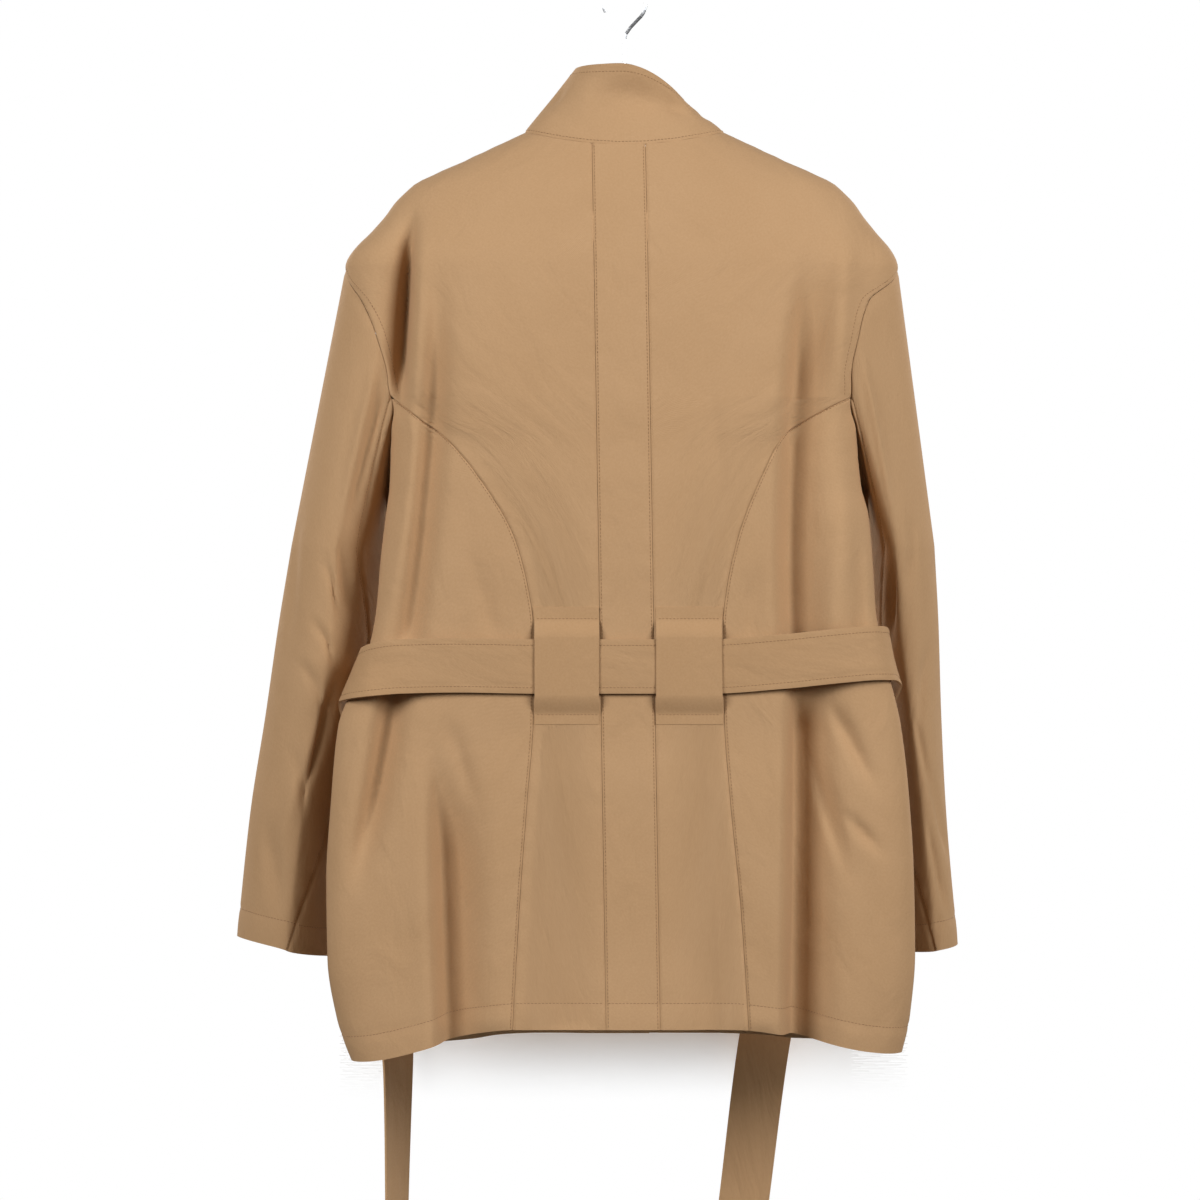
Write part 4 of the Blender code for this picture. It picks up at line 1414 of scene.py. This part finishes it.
@dataclass
class Belt(Sewn):
    """The cloth belt, folded round both sides, with its two tails hanging in front."""

    stations: int = 420
    columns: int = 17
    stitch_pull: float = 0.45
    edge_roll: float = 0.55
    roll_width: float = 1.4
    pressed: float = 0.6
    slack: float = 0.5
    belly_length: float = 37.0
    belly_swell_length: float = 91.0

    def build(self) -> None:
        """Makes the belt with its edge stitching."""
        line = np.array([[row.x, row.y, -(HOOK_TO_NECK + row.drop)] for row in BELT])
        run = run_length(line)
        at = np.linspace(0, run[-1], self.stations + 1)
        middle = np.stack([curve(run, line[:, i], at) for i in range(3)], axis=1)
        facing = np.radians(curve(run, [row.facing for row in BELT], at))
        lift = np.radians(curve(run, [row.lift for row in BELT], at))
        along = unit(np.gradient(middle, axis=0))
        level = np.cos(lift)
        look = np.stack([np.sin(facing) * level, -np.cos(facing) * level, np.sin(lift)], axis=1)
        look = unit(look - along * np.sum(look * along, axis=1, keepdims=True))
        shares = np.linspace(-0.5, 0.5, self.columns)
        across = np.cross(along, look)[:, None] * (shares * BELT_WIDTH)[:, None]
        points = middle[:, None] + look[:, None] * BELT_CLOTH / 2 + across
        grid = ClothGrid(points, np.repeat(look[:, None], self.columns, axis=1))
        edge = BELT_WIDTH * (0.5 - np.abs(shares))
        stitched = self.stitch_pull * bell(edge - BELT_STITCH, STITCH_PULL_WIDTH)
        rolled = self.edge_roll * bell(edge, self.roll_width)
        slack = self.slack * np.sin(at / self.belly_length) * np.cos(at / self.belly_swell_length)
        grid.raise_by(slack[:, None] * np.cos(math.pi * shares)[None, :] - (stitched + rolled)[None, :])
        loops = ("belt_loop_left", "belt_loop_right")
        shell = Shell("belt", "doubled_twill", BELT_CLOTH - self.pressed, cut=Cut.STRIP, rests_on=loops)
        shell.build(grid, self.look.doubled)
        self.thread.sew(grid.down_line(BELT_STITCH))
        self.thread.sew(grid.down_line(BELT_STITCH, from_right=True))


@dataclass
class Loops(Sewn):
    """Two wide belt loops sewn to the back above and below the belt."""

    edge_gap: float = 1.0
    left_inner: float = -20.5
    right_inner: float = 24.5

    def build(self) -> None:
        """Makes both loops with their stitching."""
        rows = drops(LOOP_LIFT[0].drop, LOOP_LIFT[-1].drop, *(row.drop for row in LOOP_LIFT))
        left_inner, right_inner = self.left_inner - self.edge_gap, self.right_inner + self.edge_gap
        spans = {
            "belt_loop_left": (lambda d: outer_back_x(d, "left") + self.edge_gap, lambda d: left_inner),
            "belt_loop_right": (lambda d: right_inner, lambda d: outer_back_x(d, "right") - self.edge_gap),
        }
        for node, (left, right) in spans.items():
            grid = body_panel(BACK, rows, left, right)
            lift = smooth(LOOP_LIFT, "lift", np.array(rows))[:, None]
            grid.raise_by(np.repeat(lift, grid.points.shape[1], axis=1))
            sewn_to = (node.replace("belt_loop", "back"),)
            shell = Shell(node, "doubled_twill", LOOP_CLOTH, cut=Cut.STRIP, rests_on=sewn_to)
            shell.build(grid, self.look.doubled)
            self.thread.sew(grid.across_line(LOOP_TOP_STITCH, from_top=True))
            self.thread.sew(grid.across_line(LOOP_FOOT_STITCH))


class Lamp(NamedTuple):
    """A soft light on the jacket or a target: a square panel, or a spot if it has a cone."""

    name: str
    place: Place
    size: float
    power: float
    target: Place | None = None
    cone_deg: float = 0.0


LAMPS = (
    Lamp("left key", (-2.1, -1.9, 0.55), 1.3, 58.0),
    Lamp("right key", (2.1, -1.9, 0.55), 1.3, 66.0),
    # The belt's tails hang in the jacket's own shade, so a low spot stands for light off the floor.
    Lamp("floor bounce", (-0.05, -1.6, -1.5), 0.4, 44.0, (-0.05, 0.09, -1.095), 17.0),
    Lamp("far left", (-1.7, 2.4, 0.6), 1.3, 52.0),
    Lamp("far right", (1.7, 2.4, 0.6), 1.3, 46.0),
)


@dataclass
class Studio:
    """A pair of soft lights from both sides, a white surround with a little of a wall, and the camera."""

    aim: Place = (-0.0208, -0.06, -0.522)
    distance: float = 3.0
    frame_width: float = 0.996
    sensor_mm: float = 36.0
    ambient: float = 0.09
    fill_shade: str = "FFF4E8"
    spot_blend: float = 0.8
    wall_y: float = 0.12
    wall_half: float = 0.25
    wall_ragged: float = 0.05
    wall_top: float = -0.86
    wall_hem: float = -0.885
    wall_foot: float = -0.965
    wall_glow: float = 0.05
    slat: float = 0.0005
    slat_turn: float = 2.4

    def wall(self) -> None:
        """Makes the strip of wall that takes the hem's shadow, thinned out downwards into narrower slats."""
        paint = bpy.data.materials.new("wall_paint")
        kit = NodeKit(paint)
        kit.feed(kit.shader, base_color=WHITE, roughness=0.95, specular_ior_level=0.0)
        # A glow of its own keeps it as white as the surround wherever no shadow falls.
        kit.feed(kit.shader, emission_color=WHITE, emission_strength=self.wall_glow)
        # Only its near face is painted; from behind it is clear, so the jacket's front stays in sight.
        behind = kit.add("NewGeometry", "Backfacing")
        near = kit.add("Math", settings={"operation": "SUBTRACT"}, value=1.0, value_2=behind)
        kit.feed(kit.shader, alpha=near)
        vertices = []
        for i, top in enumerate(np.arange(self.wall_top, self.wall_foot, -self.slat)):
            share = float(ease((top - self.wall_foot) / (self.wall_hem - self.wall_foot)))
            bottom = top - self.slat * share
            half = self.wall_half - self.wall_ragged * (0.5 + 0.5 * math.sin(self.slat_turn * i))
            sides = ((-half, bottom), (half, bottom), (half, top), (-half, top))
            vertices += [(x, self.wall_y, z) for x, z in sides]
        faces = np.arange(len(vertices)).reshape(-1, 4).tolist()
        wall = add_mesh("studio_wall", np.array(vertices), faces, paint)
        # It throws no light or shadow on the jacket.
        wall.visible_shadow = False
        wall.visible_diffuse = False
        wall.visible_glossy = False

    def air(self) -> bpy.types.World:
        """White all round to the eye, and a weaker even light on the cloth.

        Returns:
            The world.
        """
        world = bpy.data.worlds.new("studio_air")
        kit = NodeKit(world, "Background")
        kit.feed(kit.shader, color=linear(self.fill_shade), strength=self.ambient)
        seen = kit.add("Background", color=WHITE)
        eye = kit.add("LightPath", "Is Camera Ray")
        either = kit.add("MixShader", fac=eye, shader=kit.shader.outputs[0], shader_2=seen)
        kit.feed(kit.tree.nodes["World Output"], surface=either)
        return world

    def hang(self, lamp: Lamp) -> None:
        """Makes a lamp.

        Args:
            lamp: Its name, place, size and power.
        """
        data = bpy.data.lights.new(lamp.name, "SPOT" if lamp.cone_deg else "AREA")
        data.energy = lamp.power
        if lamp.cone_deg:
            data.shadow_soft_size = lamp.size / 2
            data.spot_size = math.radians(lamp.cone_deg)
            data.spot_blend = self.spot_blend
        else:
            data.size = lamp.size
        made = link(lamp.name, data)
        made.location = lamp.place
        way = Vector(lamp.target or self.aim) - Vector(lamp.place)
        made.rotation_euler = way.to_track_quat("-Z", "Y").to_euler()

    def build(self) -> None:
        """Makes the wall, the lights and the camera."""
        self.wall()
        for lamp in LAMPS:
            self.hang(lamp)
        scene = bpy.context.scene
        scene.world = self.air()
        scene.view_settings.view_transform = "Standard"
        data = bpy.data.cameras.new("camera")
        data.lens = self.sensor_mm * self.distance / self.frame_width
        data.sensor_width = self.sensor_mm
        scene.camera = link("camera", data)
        scene.camera.location = (self.aim[0], self.aim[1] - self.distance, self.aim[2])
        scene.camera.rotation_euler = (math.radians(90), 0.0, 0.0)


def corners(bounds: tuple) -> list[list[float]]:
    """A box's lowest and highest corners as plain lists."""
    return [[float(c) for c in corner] for corner in bounds]


def main() -> None:
    """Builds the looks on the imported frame."""
    logging.basicConfig(level=logging.INFO, format="%(message)s")
    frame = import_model()
    look = Finishes()
    thread = Thread("stitching")
    Back(look, thread).build()
    Fronts(look, thread).build()
    Sleeve(look, thread, "left", LEFT_SLEEVE, LEFT_CREASES).build()
    Sleeve(look, thread, "right", RIGHT_SLEEVE, RIGHT_CREASES).build()
    for part in (Collar, Belt, Loops):
        part(look, thread).build()
    stitching = thread.build(look.thread)
    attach(stitching, "root")
    for node, material in (("hanger_bar", look.wood), ("hanger_hook", look.wire)):
        for held in frame["nodes"][node].material_slots:
            held.material = material
        LOG.info("%s: %s", node, material.name)
    Studio().build()


if __name__ == "__main__":
    main()
